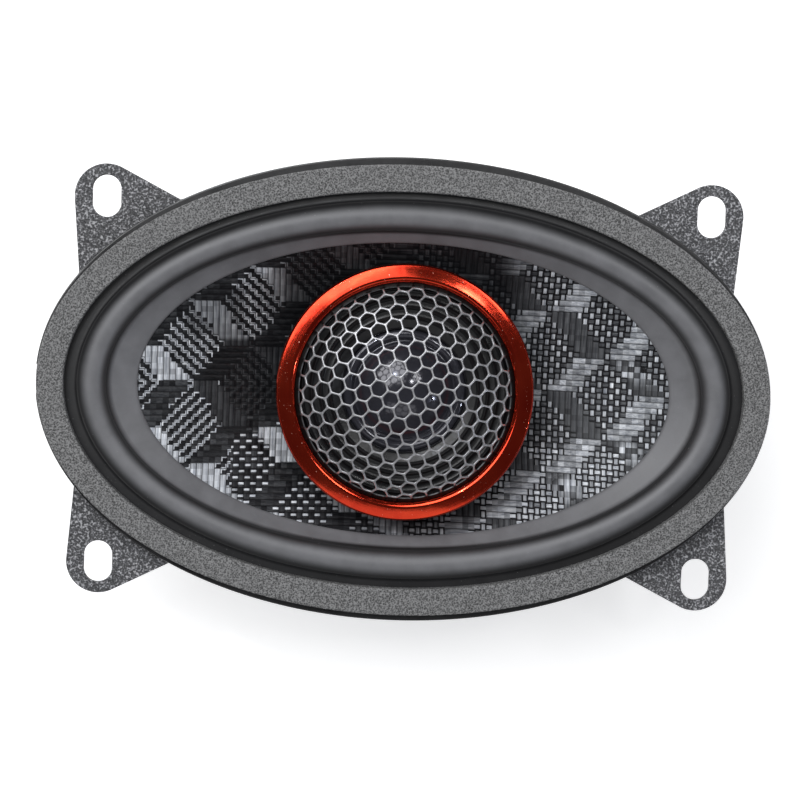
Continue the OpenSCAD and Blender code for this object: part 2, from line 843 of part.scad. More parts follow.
module tweeter_lead_negative() {
    run = shifted(concat(tweeter_route_start, tweeter_route_end), -wire_y);
    color([0.08, 0.08, 0.08]) wire(concat(run, negative_tail), wire_r);
}

module tinsel_lead_positive() {
    color([0.72, 0.45, 0.25]) wire(tinsel_route, tinsel_r);
}

module tinsel_lead_negative() {
    color([0.72, 0.45, 0.25]) wire(mirrored(tinsel_route), tinsel_r);
}

basket();
spacer_ring();
front_gasket();
surround();
cone();
voice_coil_former();
voice_coil_winding();
spider();
front_plate();
ferrite_magnet();
pole_yoke();
motor_rivets();
tweeter_post();
post_sleeve();
rear_washer();
rear_nut();
front_nut();
tweeter_housing();
tweeter_ring();
tweeter_grille();
tweeter_faceplate();
tweeter_dome();
tweeter_voice_coil();
tweeter_pole_disc();
tweeter_magnet();
tweeter_yoke();
terminal_board();
board_rivets();
terminal_positive();
terminal_negative();
terminal_eyelets();
crossover_capacitor();
tweeter_lead_positive();
tweeter_lead_negative();
tinsel_lead_positive();
tinsel_lead_negative();
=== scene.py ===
"""Looks of the oval coaxial car speaker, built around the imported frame. Working lengths are in millimetres."""
import math

import bpy
import numpy as np
from mathutils import Matrix, Vector
from mathutils.geometry import convex_hull_2d, delaunay_2d_cdt


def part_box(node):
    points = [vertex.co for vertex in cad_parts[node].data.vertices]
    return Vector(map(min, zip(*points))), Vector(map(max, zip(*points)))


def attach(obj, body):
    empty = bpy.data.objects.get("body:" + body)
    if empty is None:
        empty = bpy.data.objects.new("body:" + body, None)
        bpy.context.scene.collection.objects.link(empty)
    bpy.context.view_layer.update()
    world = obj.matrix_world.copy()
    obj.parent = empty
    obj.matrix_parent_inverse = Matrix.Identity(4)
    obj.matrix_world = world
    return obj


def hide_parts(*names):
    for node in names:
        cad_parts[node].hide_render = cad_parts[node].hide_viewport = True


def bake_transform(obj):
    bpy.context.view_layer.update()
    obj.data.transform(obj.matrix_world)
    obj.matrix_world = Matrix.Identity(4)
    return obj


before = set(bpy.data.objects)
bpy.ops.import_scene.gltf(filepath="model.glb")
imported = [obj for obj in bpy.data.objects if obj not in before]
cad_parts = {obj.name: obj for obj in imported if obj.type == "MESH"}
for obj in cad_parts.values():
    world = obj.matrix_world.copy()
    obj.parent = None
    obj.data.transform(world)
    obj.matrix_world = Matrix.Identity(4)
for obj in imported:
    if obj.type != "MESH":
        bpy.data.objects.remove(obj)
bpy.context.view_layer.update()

MM = 0.001
TURN = 2 * math.pi
FRAME, CONE, TWEETER = "frame", "cone_assembly", "tweeter_diaphragm"


# ---- Camera and light ----

TILT = (0.0841, 0.0300, -0.0332)        # turns about x, y and z from the object to the picture
DISTANCE = 498.3 * MM
LENS = 106.84
SHIFT = (-3.88 / 800, -10.85 / 800)

rx, ry, rz = TILT
to_picture = Matrix.Rotation(rz, 3, "Z") @ Matrix.Rotation(ry, 3, "Y") @ Matrix.Rotation(rx, 3, "X")
axes = to_picture.transposed()
camera_data = bpy.data.cameras.new("camera")
camera_data.sensor_width = 36
camera_data.lens = LENS
camera_data.shift_x, camera_data.shift_y = SHIFT
camera_data.clip_start, camera_data.clip_end = 0.01, 50
camera = bpy.data.objects.new("camera", camera_data)
camera.matrix_world = Matrix.Translation(axes @ Vector((0, 0, DISTANCE))) @ axes.to_4x4()
bpy.context.scene.collection.objects.link(camera)
bpy.context.scene.camera = camera
bpy.context.scene.view_settings.view_transform = "Standard"

WHITE, COOL = (1, 1, 1), (0.80, 0.86, 1.0)
LIGHTS = {                              # place and size in metres, power, tint; all face the origin
    "softbox_top": ((-0.40, 0.52, 0.95), (0.9, 0.7), 9.6, WHITE),
    "softbox_bottom": ((-0.05, -0.62, 0.85), (0.9, 0.36), 0.9, WHITE),
    "softbox_right": ((0.40, 0.36, 0.95), (0.22, 0.22), 1.2, WHITE),
    "reflector_left": ((-0.094, 0.232, 0.90), (0.26, 0.16), 0.30, WHITE),
    "reflector_right": ((0.21, 0.21, 0.90), (0.07, 0.07), 0.36, WHITE),
    "lamp_left": ((-0.30, 0.44, 0.95), (0.025, 0.025), 0.9, COOL),
    "lamp_right": ((0.84, -0.27, 0.66), (0.03, 0.03), 1.1, COOL),
}
for name, (at, span, power, tint) in LIGHTS.items():
    data = bpy.data.lights.new(name, "AREA")
    data.shape = "RECTANGLE"
    data.size, data.size_y = span
    data.energy = power
    data.color = tint
    light = bpy.data.objects.new(name, data)
    light.location = at
    light.rotation_euler = (-Vector(at)).to_track_quat("-Z", "Y").to_euler()
    light.visible_camera = False
    bpy.context.scene.collection.objects.link(light)

world = bpy.data.worlds.new("studio")
world.use_nodes = True
world.node_tree.nodes["Background"].inputs["Color"].default_value = (0.94, 0.96, 1.0, 1)
world.node_tree.nodes["Background"].inputs["Strength"].default_value = 0.11
bpy.context.scene.world = world


# ---- Materials ----

class Finish:
    """A material whose nodes are added one at a time. A value given as a socket is linked."""

    def __init__(self, name, roughness=0.5, metallic=0.0, **plain):
        self.material = bpy.data.materials.new(name)
        self.material.use_nodes = True
        self.tree = self.material.node_tree
        self.shader = self.tree.nodes["Principled BSDF"]
        self.shader.inputs["Roughness"].default_value = roughness
        self.shader.inputs["Metallic"].default_value = metallic
        for key, value in plain.items():
            self.shader.inputs[key.replace("_", " ")].default_value = value
        self.place = self.add("TexCoord", out="Object")
        self.normal = None

    def add(self, kind, inputs=None, out=0, **settings):
        node = self.tree.nodes.new("ShaderNode" + kind)
        for key, value in settings.items():
            setattr(node, key, value)
        for key, value in (inputs or {}).items():
            if isinstance(value, bpy.types.NodeSocket):
                self.tree.links.new(value, node.inputs[key])
            else:
                node.inputs[key].default_value = value
        return node.outputs[out]

    def set(self, name, socket):
        self.tree.links.new(socket, self.shader.inputs[name])

    def scaled(self, x, y, z):
        return self.add("Mapping", {"Vector": self.place, "Scale": (x, y, z)})

    def noise(self, size, detail=3.0, roughness=0.6, place=None, distortion=0.0):
        """Noise whose blobs are about size mm across, from 0 to 1."""
        return self.add("TexNoise", {
            "Vector": place or self.place, "Scale": 0.5 / (size * MM), "Detail": detail,
            "Roughness": roughness, "Distortion": distortion,
        })

    def cells(self, size, feature="F1"):
        """Distance from the middles of cells about size mm across."""
        return self.add("TexVoronoi", {"Vector": self.place, "Scale": 1 / (size * MM)}, out="Distance", feature=feature)

    def math(self, operation, a, b=0.0, c=0.0):
        return self.add("Math", {0: a, 1: b, 2: c}, operation=operation)

    def range(self, value, low, high, to_low=0.0, to_high=1.0):
        return self.add("MapRange", {
            "Value": value, "From Min": low, "From Max": high, "To Min": to_low, "To Max": to_high,
        })

    def ramp(self, value, *stops):
        """A colour ramp with stops (position, colour)."""
        node = self.tree.nodes.new("ShaderNodeValToRGB")
        self.tree.links.new(value, node.inputs[0])
        marks = node.color_ramp.elements
        while len(marks) < len(stops):
            marks.new(0.5)
        for mark, (position, colour) in zip(marks, stops):
            mark.position = position
            mark.color = (*colour, 1)
        return node.outputs[0]

    def mix(self, share, a, b):
        """Colour a where share is 0 and b where it is 1."""
        a, b = (c if isinstance(c, bpy.types.NodeSocket) else (*c, 1) for c in (a, b))
        return self.add("Mix", {0: share, 6: a, 7: b}, out=2, data_type="RGBA")

    def bump(self, height, depth):
        """Adds relief of depth mm for a height of 0 to 1."""
        inputs = {"Height": height, "Distance": depth * MM, "Strength": 1.0}
        if self.normal is not None:
            inputs["Normal"] = self.normal
        self.normal = self.add("Bump", inputs)
        self.set("Normal", self.normal)

    def axes(self):
        """Sockets for x, y and z in metres."""
        parts = self.tree.nodes.new("ShaderNodeSeparateXYZ")
        self.tree.links.new(self.place, parts.inputs[0])
        return parts.outputs

    def polar(self):
        """Sockets for the distance from the axis in mm, and the height z in mm."""
        x, y, z = self.axes()
        squares = self.math("ADD", self.math("MULTIPLY", x, x), self.math("MULTIPLY", y, y))
        return self.math("MULTIPLY", self.math("SQRT", squares), 1 / MM), self.math("MULTIPLY", z, 1 / MM)

    def turning(self, pitch, detail):
        """Noise in fine rings of pitch mm round the axis, as a lathe leaves them."""
        across, along = (self.math("MULTIPLY", socket, 1 / pitch) for socket in self.polar())
        place = self.add("CombineXYZ", {0: across, 1: along, 2: 0.0})
        return self.add("TexNoise", {"Vector": place, "Scale": 1.0, "Detail": detail})


def clouded(name, noise, dark, light, depth, roughness, metallic=0.0, stretch=None, **plain):
    """A finish whose colour and relief of depth mm follow one noise, as does a roughness given as (low, high)."""
    varies = isinstance(roughness, tuple)
    f = Finish(name, 0.5 if varies else roughness, metallic, **plain)
    if stretch:
        noise = {**noise, "place": f.scaled(*stretch)}
    cloud = f.noise(**noise)
    f.set("Base Color", f.mix(cloud, dark, light))
    if varies:
        f.set("Roughness", f.range(cloud, 0.3, 0.7, *roughness))
    f.bump(cloud, depth)
    return f.material


def wrinkle_paint():
    f = Finish("basket_paint", Specular_IOR_Level=0.7)
    grain = f.noise(0.30, 4.0, 0.78, distortion=0.4)
    lumps = f.cells(0.36, "SMOOTH_F1")
    relief = f.math("ADD", f.math("MULTIPLY", grain, 0.7), f.math("MULTIPLY", lumps, 0.5))
    f.set("Base Color", f.ramp(relief, (0.44, (0.016, 0.016, 0.018)), (0.59, (0.078, 0.079, 0.085)),
                               (0.74, (0.50, 0.50, 0.52))))
    f.set("Roughness", f.range(grain, 0.3, 0.7, 0.32, 0.52))
    f.bump(relief, 0.34)
    return f.material


def satin_plastic(name, colour, roughness):
    f = Finish(name)
    fine = f.noise(0.4, 4.0)
    f.set("Base Color", f.mix(f.range(fine, 0.35, 0.65), [0.75 * c for c in colour], [1.3 * c for c in colour]))
    f.set("Roughness", f.range(f.noise(6), 0.3, 0.7, roughness - 0.06, roughness + 0.08))
    f.bump(fine, 0.012)
    return f.material


def gasket_foam():
    f = Finish("gasket_foam", 0.92, Specular_IOR_Level=0.25)
    tone = f.math("ADD", f.math("MULTIPLY", f.noise(0.22, 3.0, 0.7), 0.75), f.math("MULTIPLY", f.cells(0.34), 0.45))
    speckle = f.ramp(tone, (0.36, (0.028, 0.028, 0.028)), (0.54, (0.105, 0.105, 0.105)), (0.72, (0.27, 0.27, 0.27)))
    f.set("Base Color", f.mix(f.range(f.noise(3.5), 0.35, 0.65, 0.0, 0.18), speckle, (0.15, 0.15, 0.15)))
    f.bump(tone, 0.14)
    return f.material


def surround_rubber():
    """Rubber with painted shade: near black at the feet of the roll, where the piece's point attribute for it is 0, and
    its plain mottled colour where it is 1, with light specks of dust all over.
    """
    f = Finish("surround_rubber", Sheen_Weight=0.12, Sheen_Roughness=0.5)
    unshaded = f.add("Attribute", out="Fac", attribute_name="unshaded")
    mottled = f.noise(2.4, 5.0, 0.55)
    dust = f.noise(0.18, 2.0, 0.5)
    plain = f.mix(f.range(mottled, 0.35, 0.65), (0.126, 0.127, 0.134), (0.156, 0.157, 0.166))
    # painted shade: the rubber goes near black where the attribute is 0, at the feet of the roll
    shaded = f.mix(unshaded, (0.008, 0.008, 0.009), plain)
    f.set("Base Color", f.mix(f.range(dust, 0.72, 0.79, 0.0, 0.5), shaded, (0.30, 0.30, 0.30)))
    f.set("Roughness", f.range(mottled, 0.3, 0.7, 0.40, 0.54))
    f.bump(f.noise(0.6, 5.0), 0.022)
    return f.material


def cone_weave():
    """Fibres along each tow. The mesh says which tows run along Y, how light a face is painted, with painted highlights
    and painted shade, and how high a point lies; the low points get painted shade.
    """
    f = Finish("cone_weave", Specular_IOR_Level=0.18, Anisotropic=0.5)
    upright, tone, crown = (f.add("Attribute", out="Fac", attribute_name=name) for name in ("upright", "tone", "crown"))
    along_y = f.noise(0.21, 3.0, 0.7, f.scaled(1, 0.06, 0.06))
    along_x = f.noise(0.21, 3.0, 0.7, f.scaled(0.06, 1, 1))
    fibres = f.add("Mix", {0: upright, 2: along_x, 3: along_y})
    streaks = f.range(fibres, 0.32, 0.68)
    dark = f.mix(streaks, (0.003, 0.003, 0.004), (0.015, 0.016, 0.018))
    # light is near white, the colour of the painted highlights
    light = f.mix(streaks, (0.31, 0.335, 0.385), (0.93, 0.965, 1.0))
    # painted shade: the low points between the tows go towards black
    lit = f.range(crown, 0.10, 0.70, 0.25, 1.0)
    f.set("Base Color", f.mix(lit, (0.003, 0.003, 0.004), f.mix(tone, dark, light)))
    f.set("Roughness", f.range(fibres, 0.3, 0.7, 0.42, 0.62))
    f.set("Tangent", f.add("CombineXYZ", {0: f.math("SUBTRACT", 1.0, upright), 1: upright, 2: 0.0}))
    f.bump(fibres, 0.03)
    return f.material


def wound_copper():
    f = Finish("copper_wire", 0.28, 1.0)
    turns = f.math("PINGPONG", f.polar()[1], 0.11)
    f.set("Base Color", f.mix(f.range(turns, 0.0, 0.08), (0.16, 0.04, 0.015), (0.80, 0.36, 0.16)))
    f.bump(f.range(turns, 0.0, 0.11), 0.06)
    return f.material


def spider_cloth():
    f = Finish("spider_cloth", 0.75, Sheen_Weight=0.2)
    thread = TURN / (0.55 * MM)
    warp, weft = (f.math("SINE", f.math("MULTIPLY", axis, thread)) for axis in list(f.axes())[:2])
    weave = f.range(f.math("MULTIPLY", warp, weft), -1.0, 1.0)
    plain = f.mix(weave, (0.20, 0.11, 0.03), (0.62, 0.42, 0.15))
    f.set("Base Color", f.mix(f.range(f.noise(4.0, 4.0), 0.4, 0.7, 0.0, 0.5), plain, (0.36, 0.20, 0.06)))
    f.bump(weave, 0.09)
    return f.material


def turned_steel(name, colour, roughness, pitch=0.35):
    """Plated metal with fine turning marks round the axis, faint stains and spots of wear."""
    f = Finish(name, metallic=1.0)
    marks = f.turning(pitch, 3.0)
    fine = f.noise(0.3)
    stains = f.range(f.noise(5.0, 5.0, 0.6, distortion=0.8), 0.35, 0.7, 0.0, 0.55)
    f.set("Base Color", f.mix(stains, colour, [0.55 * c for c in colour]))
    f.set("Roughness", f.math("ADD", f.range(marks, 0.3, 0.7, roughness - 0.08, roughness + 0.08),
                              f.range(fine, 0.3, 0.7, 0.0, 0.10)))
    f.bump(marks, 0.012)
    f.bump(fine, 0.004)
    return f.material


def ferrite():
    f = Finish("ferrite", Specular_IOR_Level=0.45)
    grain = f.noise(0.35, 5.0, 0.7)
    chips = f.range(f.cells(2.6), 0.0, 0.16, 1.0, 0.0)
    plain = f.mix(grain, (0.028, 0.028, 0.030), (0.085, 0.085, 0.088))
    f.set("Base Color", f.mix(f.range(f.noise(7.0, 4.0), 0.4, 0.7, 0.0, 0.35), plain, (0.11, 0.11, 0.112)))
    f.set("Roughness", f.range(grain, 0.3, 0.7, 0.5, 0.75))
    f.bump(grain, 0.05)
    f.bump(f.math("MULTIPLY", chips, -1.0), 0.10)
    return f.material


def red_anodised():
    f = Finish("red_anodised", metallic=1.0)
    marks = f.turning(1 / 9, 2.0)
    cloud = f.noise(5.0)
    speck = f.range(f.noise(0.16, 1.0), 0.745, 0.78)
    deep = f.mix(f.range(cloud, 0.35, 0.65), (0.50, 0.030, 0.015), (0.68, 0.056, 0.024))
    f.set("Base Color", f.mix(speck, deep, (0.85, 0.45, 0.36)))
    f.set("Roughness", f.math("ADD", f.range(marks, 0.3, 0.7, 0.08, 0.14), f.math("MULTIPLY", speck, 0.3)))
    f.bump(marks, 0.0025)
    f.bump(cloud, 0.05)
    return f.material


def grille_paint():
    """Silver paint, with painted shade, black, where the sheet goes down under the ring."""
    f = Finish("grille_mesh", metallic=0.7)
    grain = f.noise(0.25, 4.0)
    paint = f.mix(grain, (0.21, 0.21, 0.22), (0.54, 0.54, 0.56))
    # painted shade: blends to black between 21.6 and 22.05 mm from the axis, in the gap under the ring
    f.set("Base Color", f.mix(f.range(f.polar()[0], 21.6, 22.05), paint, (0.008, 0.008, 0.008)))
    f.set("Roughness", f.range(grain, 0.3, 0.7, 0.28, 0.48))
    f.bump(grain, 0.012)
    return f.material


def brass():
    f = Finish("brass_blade", metallic=1.0)
    brushed = f.noise(0.25, place=f.scaled(0.08, 1, 1))
    f.set("Base Color", f.mix(f.range(f.noise(3.0, 4.0), 0.4, 0.75), (0.80, 0.64, 0.32), (0.46, 0.32, 0.13)))
    f.set("Roughness", f.range(brushed, 0.3, 0.7, 0.2, 0.36))
    f.bump(brushed, 0.012)
    return f.material


def pale_floor():
    f = Finish("floor", 0.9, Emission_Color=(1, 1, 1, 1), Emission_Strength=0.54)
    f.set("Base Color", f.mix(f.noise(60), (0.89, 0.89, 0.89), (0.92, 0.92, 0.92)))
    return f.material


FINISH = {
    "basket_paint": wrinkle_paint(),
    "black_plastic": satin_plastic("black_plastic", (0.012, 0.012, 0.013), 0.30),
    "gasket_foam": gasket_foam(),
    "surround_rubber": surround_rubber(),
    "cone_weave": cone_weave(),
    "cone_back": clouded("cone_back", {"size": 0.5, "detail": 6.0, "roughness": 0.7, "distortion": 1.0},
                         (0.010, 0.010, 0.011), (0.040, 0.039, 0.038), 0.06, 0.8),
    "former_film": clouded("former_film", {"size": 3.0, "detail": 2.0}, (0.30, 0.13, 0.03), (0.52, 0.27, 0.08),
                           0.02, 0.28, Coat_Weight=0.4),
    "copper_wire": wound_copper(),
    "spider_cloth": spider_cloth(),
    "plated_steel": turned_steel("plated_steel", (0.62, 0.61, 0.57), 0.34),
    "ferrite": ferrite(),
    "red_anodised": red_anodised(),
    "grille_mesh": grille_paint(),
    "dome_film": clouded("dome_film", {"size": 1.6}, (0.030, 0.030, 0.040), (0.060, 0.060, 0.075), 0.02,
                         (0.10, 0.18), 0.4, Coat_Weight=0.5, Coat_Roughness=0.05),
    "nickel": turned_steel("nickel", (0.66, 0.64, 0.60), 0.22, 0.2),
    "phenolic_board": clouded("phenolic_board", {"size": 0.5, "detail": 5.0, "roughness": 0.65}, (0.13, 0.050, 0.018),
                              (0.30, 0.135, 0.055), 0.02, 0.45, stretch=(0.25, 1, 1)),
    "brass_blade": brass(),
    "capacitor_sleeve": satin_plastic("capacitor_sleeve", (0.020, 0.028, 0.085), 0.22),
    "red_wire": satin_plastic("red_wire", (0.42, 0.018, 0.014), 0.35),
    "black_wire": satin_plastic("black_wire", (0.015, 0.015, 0.016), 0.35),
    "tinsel": clouded("tinsel", {"size": 0.12}, (0.34, 0.14, 0.06), (0.85, 0.50, 0.28), 0.03, 0.3, 1.0),
    "floor": pale_floor(),
}


# ---- Mesh building ----

def grid_faces(rows, cols, wrap_rows=False, wrap_cols=True):
    """Four-sided faces of a grid of points, row after row."""
    i, j = np.meshgrid(np.arange(rows if wrap_rows else rows - 1),
                       np.arange(cols if wrap_cols else cols - 1), indexing="ij")
    i2, j2 = (i + 1) % rows, (j + 1) % cols
    return np.stack([i * cols + j, i * cols + j2, i2 * cols + j2, i2 * cols + j], -1).reshape(-1, 4)


def signed_volume(points, faces):
    total = 0.0
    for face in faces:
        p = points[np.asarray(face)]
        for k in range(1, p.shape[-2] - 1):
            total += (p[:, 0] * np.cross(p[:, k], p[:, k + 1])).sum()
    return total / 6


def outward(points, *face_sets):
    """The face sets, turned round if the closed mesh is inside out."""
    flip = signed_volume(points, face_sets) < 0
    return [f[:, ::-1] if flip else f for f in face_sets]


def weld(points, face_sets):
    """Points that lie on each other become one."""
    _, first, inverse = np.unique(np.round(points, 4), axis=0, return_index=True, return_inverse=True)
    inverse = inverse.reshape(-1)
    kept = []
    for faces in face_sets:
        faces = inverse[faces]
        kept.append(faces[(faces != np.roll(faces, -1, axis=1)).all(1)])
    return points[first], kept


def build(name, points, face_sets, finish, smooth=40):
    """A mesh object from points in mm. finish names one material, or one for each face set."""
    mesh = bpy.data.meshes.new(name)
    faces = [f.tolist() for f in face_sets]
    mesh.from_pydata((np.asarray(points) * MM).tolist(), [], sum(faces, []))
    names = [finish] if isinstance(finish, str) else list(finish)
    for key in names:
        mesh.materials.append(FINISH[key])
    if len(names) > 1:
        mesh.polygons.foreach_set("material_index", np.concatenate(
            [np.full(len(f), k) for k, f in enumerate(faces)]).astype(np.int32))
    mesh.validate()
    mesh.shade_smooth()
    if smooth < 180:
        mesh.set_sharp_from_angle(angle=math.radians(smooth))
    piece = bpy.data.objects.new(name, mesh)
    bpy.context.scene.collection.objects.link(piece)
    return piece


def even_normals(piece):
    """Keeps flat faces flat to the light beside their rounded edges."""
    modifier = piece.modifiers.new("even_normals", "WEIGHTED_NORMAL")
    modifier.keep_sharp = True
    modifier.weight = 60


def place(piece, body, slot, *nodes):
    """The piece, riding on a body in place of the CAD nodes."""
    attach(piece, body)
    if nodes:
        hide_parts(*nodes)
    return piece


def ease(share):
    t = np.clip(share, 0, 1)
    return t * t * (3 - 2 * t)


def points_of(piece):
    return np.array([v.co for v in piece.data.vertices]) / MM


def mark(piece, name, domain, values):
    """Numbers on the mesh for its finish to read."""
    data = piece.data.attributes.new(name, "FLOAT", domain)
    data.data.foreach_set("value", np.asarray(values, np.float32))


def place_between(piece, node, share):
    """The piece, with its transform baked in, in place of the CAD node. Each point's weight, 0 for the frame where
    share(points) is 0 and 1 for the moving body where it is 1, is worked out but not used.
    """
    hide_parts(node)
    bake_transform(piece)
    weight = ease(share(points_of(piece)))


def rounded(points, radius, steps, closed=True):
    """The line through the points with each corner rounded. radius is one number or one for each corner."""
    points = [np.array(p, float) for p in points]
    count, line = len(points), []
    for i, p in enumerate(points):
        r = radius[i] if isinstance(radius, (list, tuple)) else radius
        if r == 0 or (not closed and i in (0, count - 1)):
            line.append(p)
            continue
        before, after = points[i - 1] - p, points[(i + 1) % count] - p
        long_before, long_after = np.linalg.norm(before), np.linalg.norm(after)
        start = p + before / long_before * min(r, 0.48 * long_before)
        end = p + after / long_after * min(r, 0.48 * long_after)
        for u in np.arange(steps + 1) / steps:
            line.append((1 - u) ** 2 * start + 2 * u * (1 - u) * p + u * u * end)
    return line


def oval_grid(rings, steps):
    """Points of oval rings (a, b, z), ring after ring."""
    rings = np.array(rings, float)
    t = np.arange(steps) * TURN / steps
    x, y = rings[:, :1] * np.cos(t), rings[:, 1:2] * np.sin(t)
    return np.stack([x, y, np.repeat(rings[:, 2:3], steps, axis=1)], -1).reshape(-1, 3)


def loft(name, rings, finish, steps, smooth):
    """A closed skin through oval rings, the last of which joins the first."""
    points = oval_grid(rings, steps)
    return build(name, points, outward(points, grid_faces(len(rings), steps, wrap_rows=True)), finish, smooth)


def lathe(name, outline, finish, steps=128, smooth=40):
    """A closed skin turned from an outline of (radius, z)."""
    points, faces = weld(oval_grid([(r, r, z) for r, z in outline], steps),
                         [grid_faces(len(outline), steps, wrap_rows=True)])
    return build(name, points, outward(points, *faces), finish, smooth)


def capped(name, points, cols, ends, finish, smooth):
    """A closed skin over a grid of points whose first and last rows close on two end points."""
    rows = len(points) // cols
    points = np.concatenate([points, ends])
    j = np.arange(cols)
    near = np.stack([np.full(cols, rows * cols), (j + 1) % cols, j], -1)
    far = np.stack([np.full(cols, rows * cols + 1), (rows - 1) * cols + j, (rows - 1) * cols + (j + 1) % cols], -1)
    return build(name, points, outward(points, grid_faces(rows, cols), near, far), [finish] * 3, smooth)


def solid_lathe(name, outline, finish, steps, smooth=40):
    """A closed skin turned from an outline whose first and last points lie on the axis."""
    points = oval_grid([(r, r, z) for r, z in outline[1:-1]], steps)
    return capped(name, points, steps, [(0, 0, outline[0][1]), (0, 0, outline[-1][1])], finish, smooth)


def inside(points, loops):
    """Which of the points lie inside an odd number of the loops."""
    odd = np.zeros(len(points), bool)
    for loop in loops:
        a, b = loop, np.roll(loop, -1, axis=0)
        for k in range(0, len(points), 4000):
            p = points[k:k + 4000]
            above = (a[None, :, 1] > p[:, None, 1]) != (b[None, :, 1] > p[:, None, 1])
            with np.errstate(divide="ignore", invalid="ignore"):
                cross = a[:, 0] + (p[:, None, 1] - a[:, 1]) / (b[:, 1] - a[:, 1]) * (b[:, 0] - a[:, 0])
            odd[k:k + 4000] ^= (above & (p[:, None, 0] < cross)).sum(1) % 2 == 1
    return odd


def triangulate(loops, spread):
    """Triangles that fill the first loop less the others, through the extra points in spread."""
    points = np.concatenate([*loops, spread])
    edges, start = [], 0
    for loop in loops:
        edges += [(start + k, start + (k + 1) % len(loop)) for k in range(len(loop))]
        start += len(loop)
    found = delaunay_2d_cdt([Vector(p) for p in points.tolist()], edges, [], 0, 1e-6)
    flat = np.array([tuple(v) for v in found[0]])
    faces = np.array([f for f in found[2] if len(f) == 3])
    where = {old: new for new, olds in enumerate(found[3]) for old in olds}
    faces = faces[inside(flat[faces].mean(1), loops)]
    a, b, c = (flat[faces[:, k]] for k in range(3))
    area = (b[:, 0] - a[:, 0]) * (c[:, 1] - a[:, 1]) - (b[:, 1] - a[:, 1]) * (c[:, 0] - a[:, 0])
    faces[area < 0] = faces[area < 0][:, ::-1]
    return flat, faces, where


def sheet_skin(loops, surface, thickness, edge, spread=(), bare=()):
    """Points, triangles and quads of a sheet with rounded edges. The loops run anticlockwise, the outside first, on
    a flat pattern that surface() turns into middle points and normals. Loops numbered in bare get no edge."""
    flat, faces, where = triangulate(loops, np.reshape(spread, (-1, 2)))
    middle, normal = surface(flat)
    half, count = thickness / 2, len(flat)
    pull = np.zeros_like(middle)
    strips = []
    start = 0
    for number, loop in enumerate(loops):
        index = np.array([where[start + k] for k in range(len(loop))])
        start += len(loop)
        if number in bare:
            continue
        line, up = middle[index], normal[index]
        out = np.cross(np.roll(line, -1, axis=0) - np.roll(line, 1, axis=0), up)
        out /= np.linalg.norm(out, axis=1)[:, None]
        if number:
            out = -out
        pull[index] = -out * edge
        strips.append((index, line, up, out))
    points = [middle + normal * half + pull, middle - normal * half + pull]
    quads = []
    total = 2 * count
    bend = (1 - math.sqrt(0.5)) * edge
    for index, line, up, out in strips:
        n = len(index)
        ladder = [index]
        for rise, reach in ((half - bend, -bend), (half - edge, 0), (edge - half, 0), (bend - half, -bend)):
            points.append(line + up * rise + out * reach)
            ladder.append(np.arange(total, total + n))
            total += n
        ladder.append(index + count)
        for upper, lower in zip(ladder, ladder[1:]):
            quads.append(np.stack([upper, lower, np.roll(lower, -1), np.roll(upper, -1)], -1))
    points, quads = np.concatenate(points), np.concatenate(quads)
    triangles = np.concatenate([faces, faces[:, ::-1] + count])
    # the edges face the same way as the faces where the two volumes add up
    turned = quads[:, ::-1]
    if abs(signed_volume(points, [triangles, quads])) <= abs(signed_volume(points, [triangles, turned])):
        quads = turned
    return points, *outward(points, triangles, quads)


def flat_at(z):
    """A surface for sheet_skin that lies flat at height z."""
    def surface(flat):
        return np.insert(flat, 2, float(z), axis=1), np.tile([0.0, 0.0, 1.0], (len(flat), 1))
    return surface


def sheet(name, loops, surface, thickness, edge, finish, smooth=40):
    points, *faces = sheet_skin(loops, surface, thickness, edge)
    return build(name, points, faces, [finish] * 2, smooth)


def flat_sheet(name, loops, low, high, edge, finish):
    """A flat sheet from height low to height high."""
    return sheet(name, loops, flat_at((low + high) / 2), high - low, edge, finish)


def oval_loop(a, b, steps=288):
    t = np.arange(steps) * TURN / steps
    return np.stack([a * np.cos(t), b * np.sin(t)], -1)


def circle_loop(x, y, r, steps=24):
    return oval_loop(r, r, steps) + [x, y]


def dense(loop, gap):
    """The closed loop with points added so that none are further apart than gap."""
    out = []
    for p, q in zip(loop, np.roll(loop, -1, axis=0)):
        n = max(1, math.ceil(np.linalg.norm(q - p) / gap))
        out += [p + (q - p) * k / n for k in range(n)]
    return np.array(out)


def rounded_loop(points, radius, steps, gap):
    return dense(np.array(rounded(points, radius, steps)), gap)


def tube(name, path, radius, finish, sides, weave=None):
    """A tube along a smooth path. weave gives (strands, pitch mm, depth) of a braid on its surface."""
    path = np.array(path)
    ahead = np.gradient(path, axis=0)
    ahead /= np.linalg.norm(ahead, axis=1)[:, None]
    side = np.array([0.1, 1.0, 0.05])   # near enough to square with every path's start
    length = np.concatenate([[0], np.cumsum(np.linalg.norm(np.diff(path, axis=0), axis=1))])
    rings = []
    turn = np.arange(sides) * TURN / sides
    for p, a, s in zip(path, ahead, length):
        side = side - (side @ a) * a
        side /= np.linalg.norm(side)
        up = np.cross(a, side)
        r = np.full(sides, float(radius))
        if weave:
            strands, pitch, depth = weave
            r = r * (1 - depth + depth * np.abs(np.sin(strands * turn / 2 + TURN * s / pitch)
                                                * np.sin(strands * turn / 2 - TURN * s / pitch)))
        rings.append(p + r[:, None] * (np.cos(turn)[:, None] * side + np.sin(turn)[:, None] * up))
    return capped(name, np.concatenate(rings), sides, [path[0], path[-1]], finish, 60)


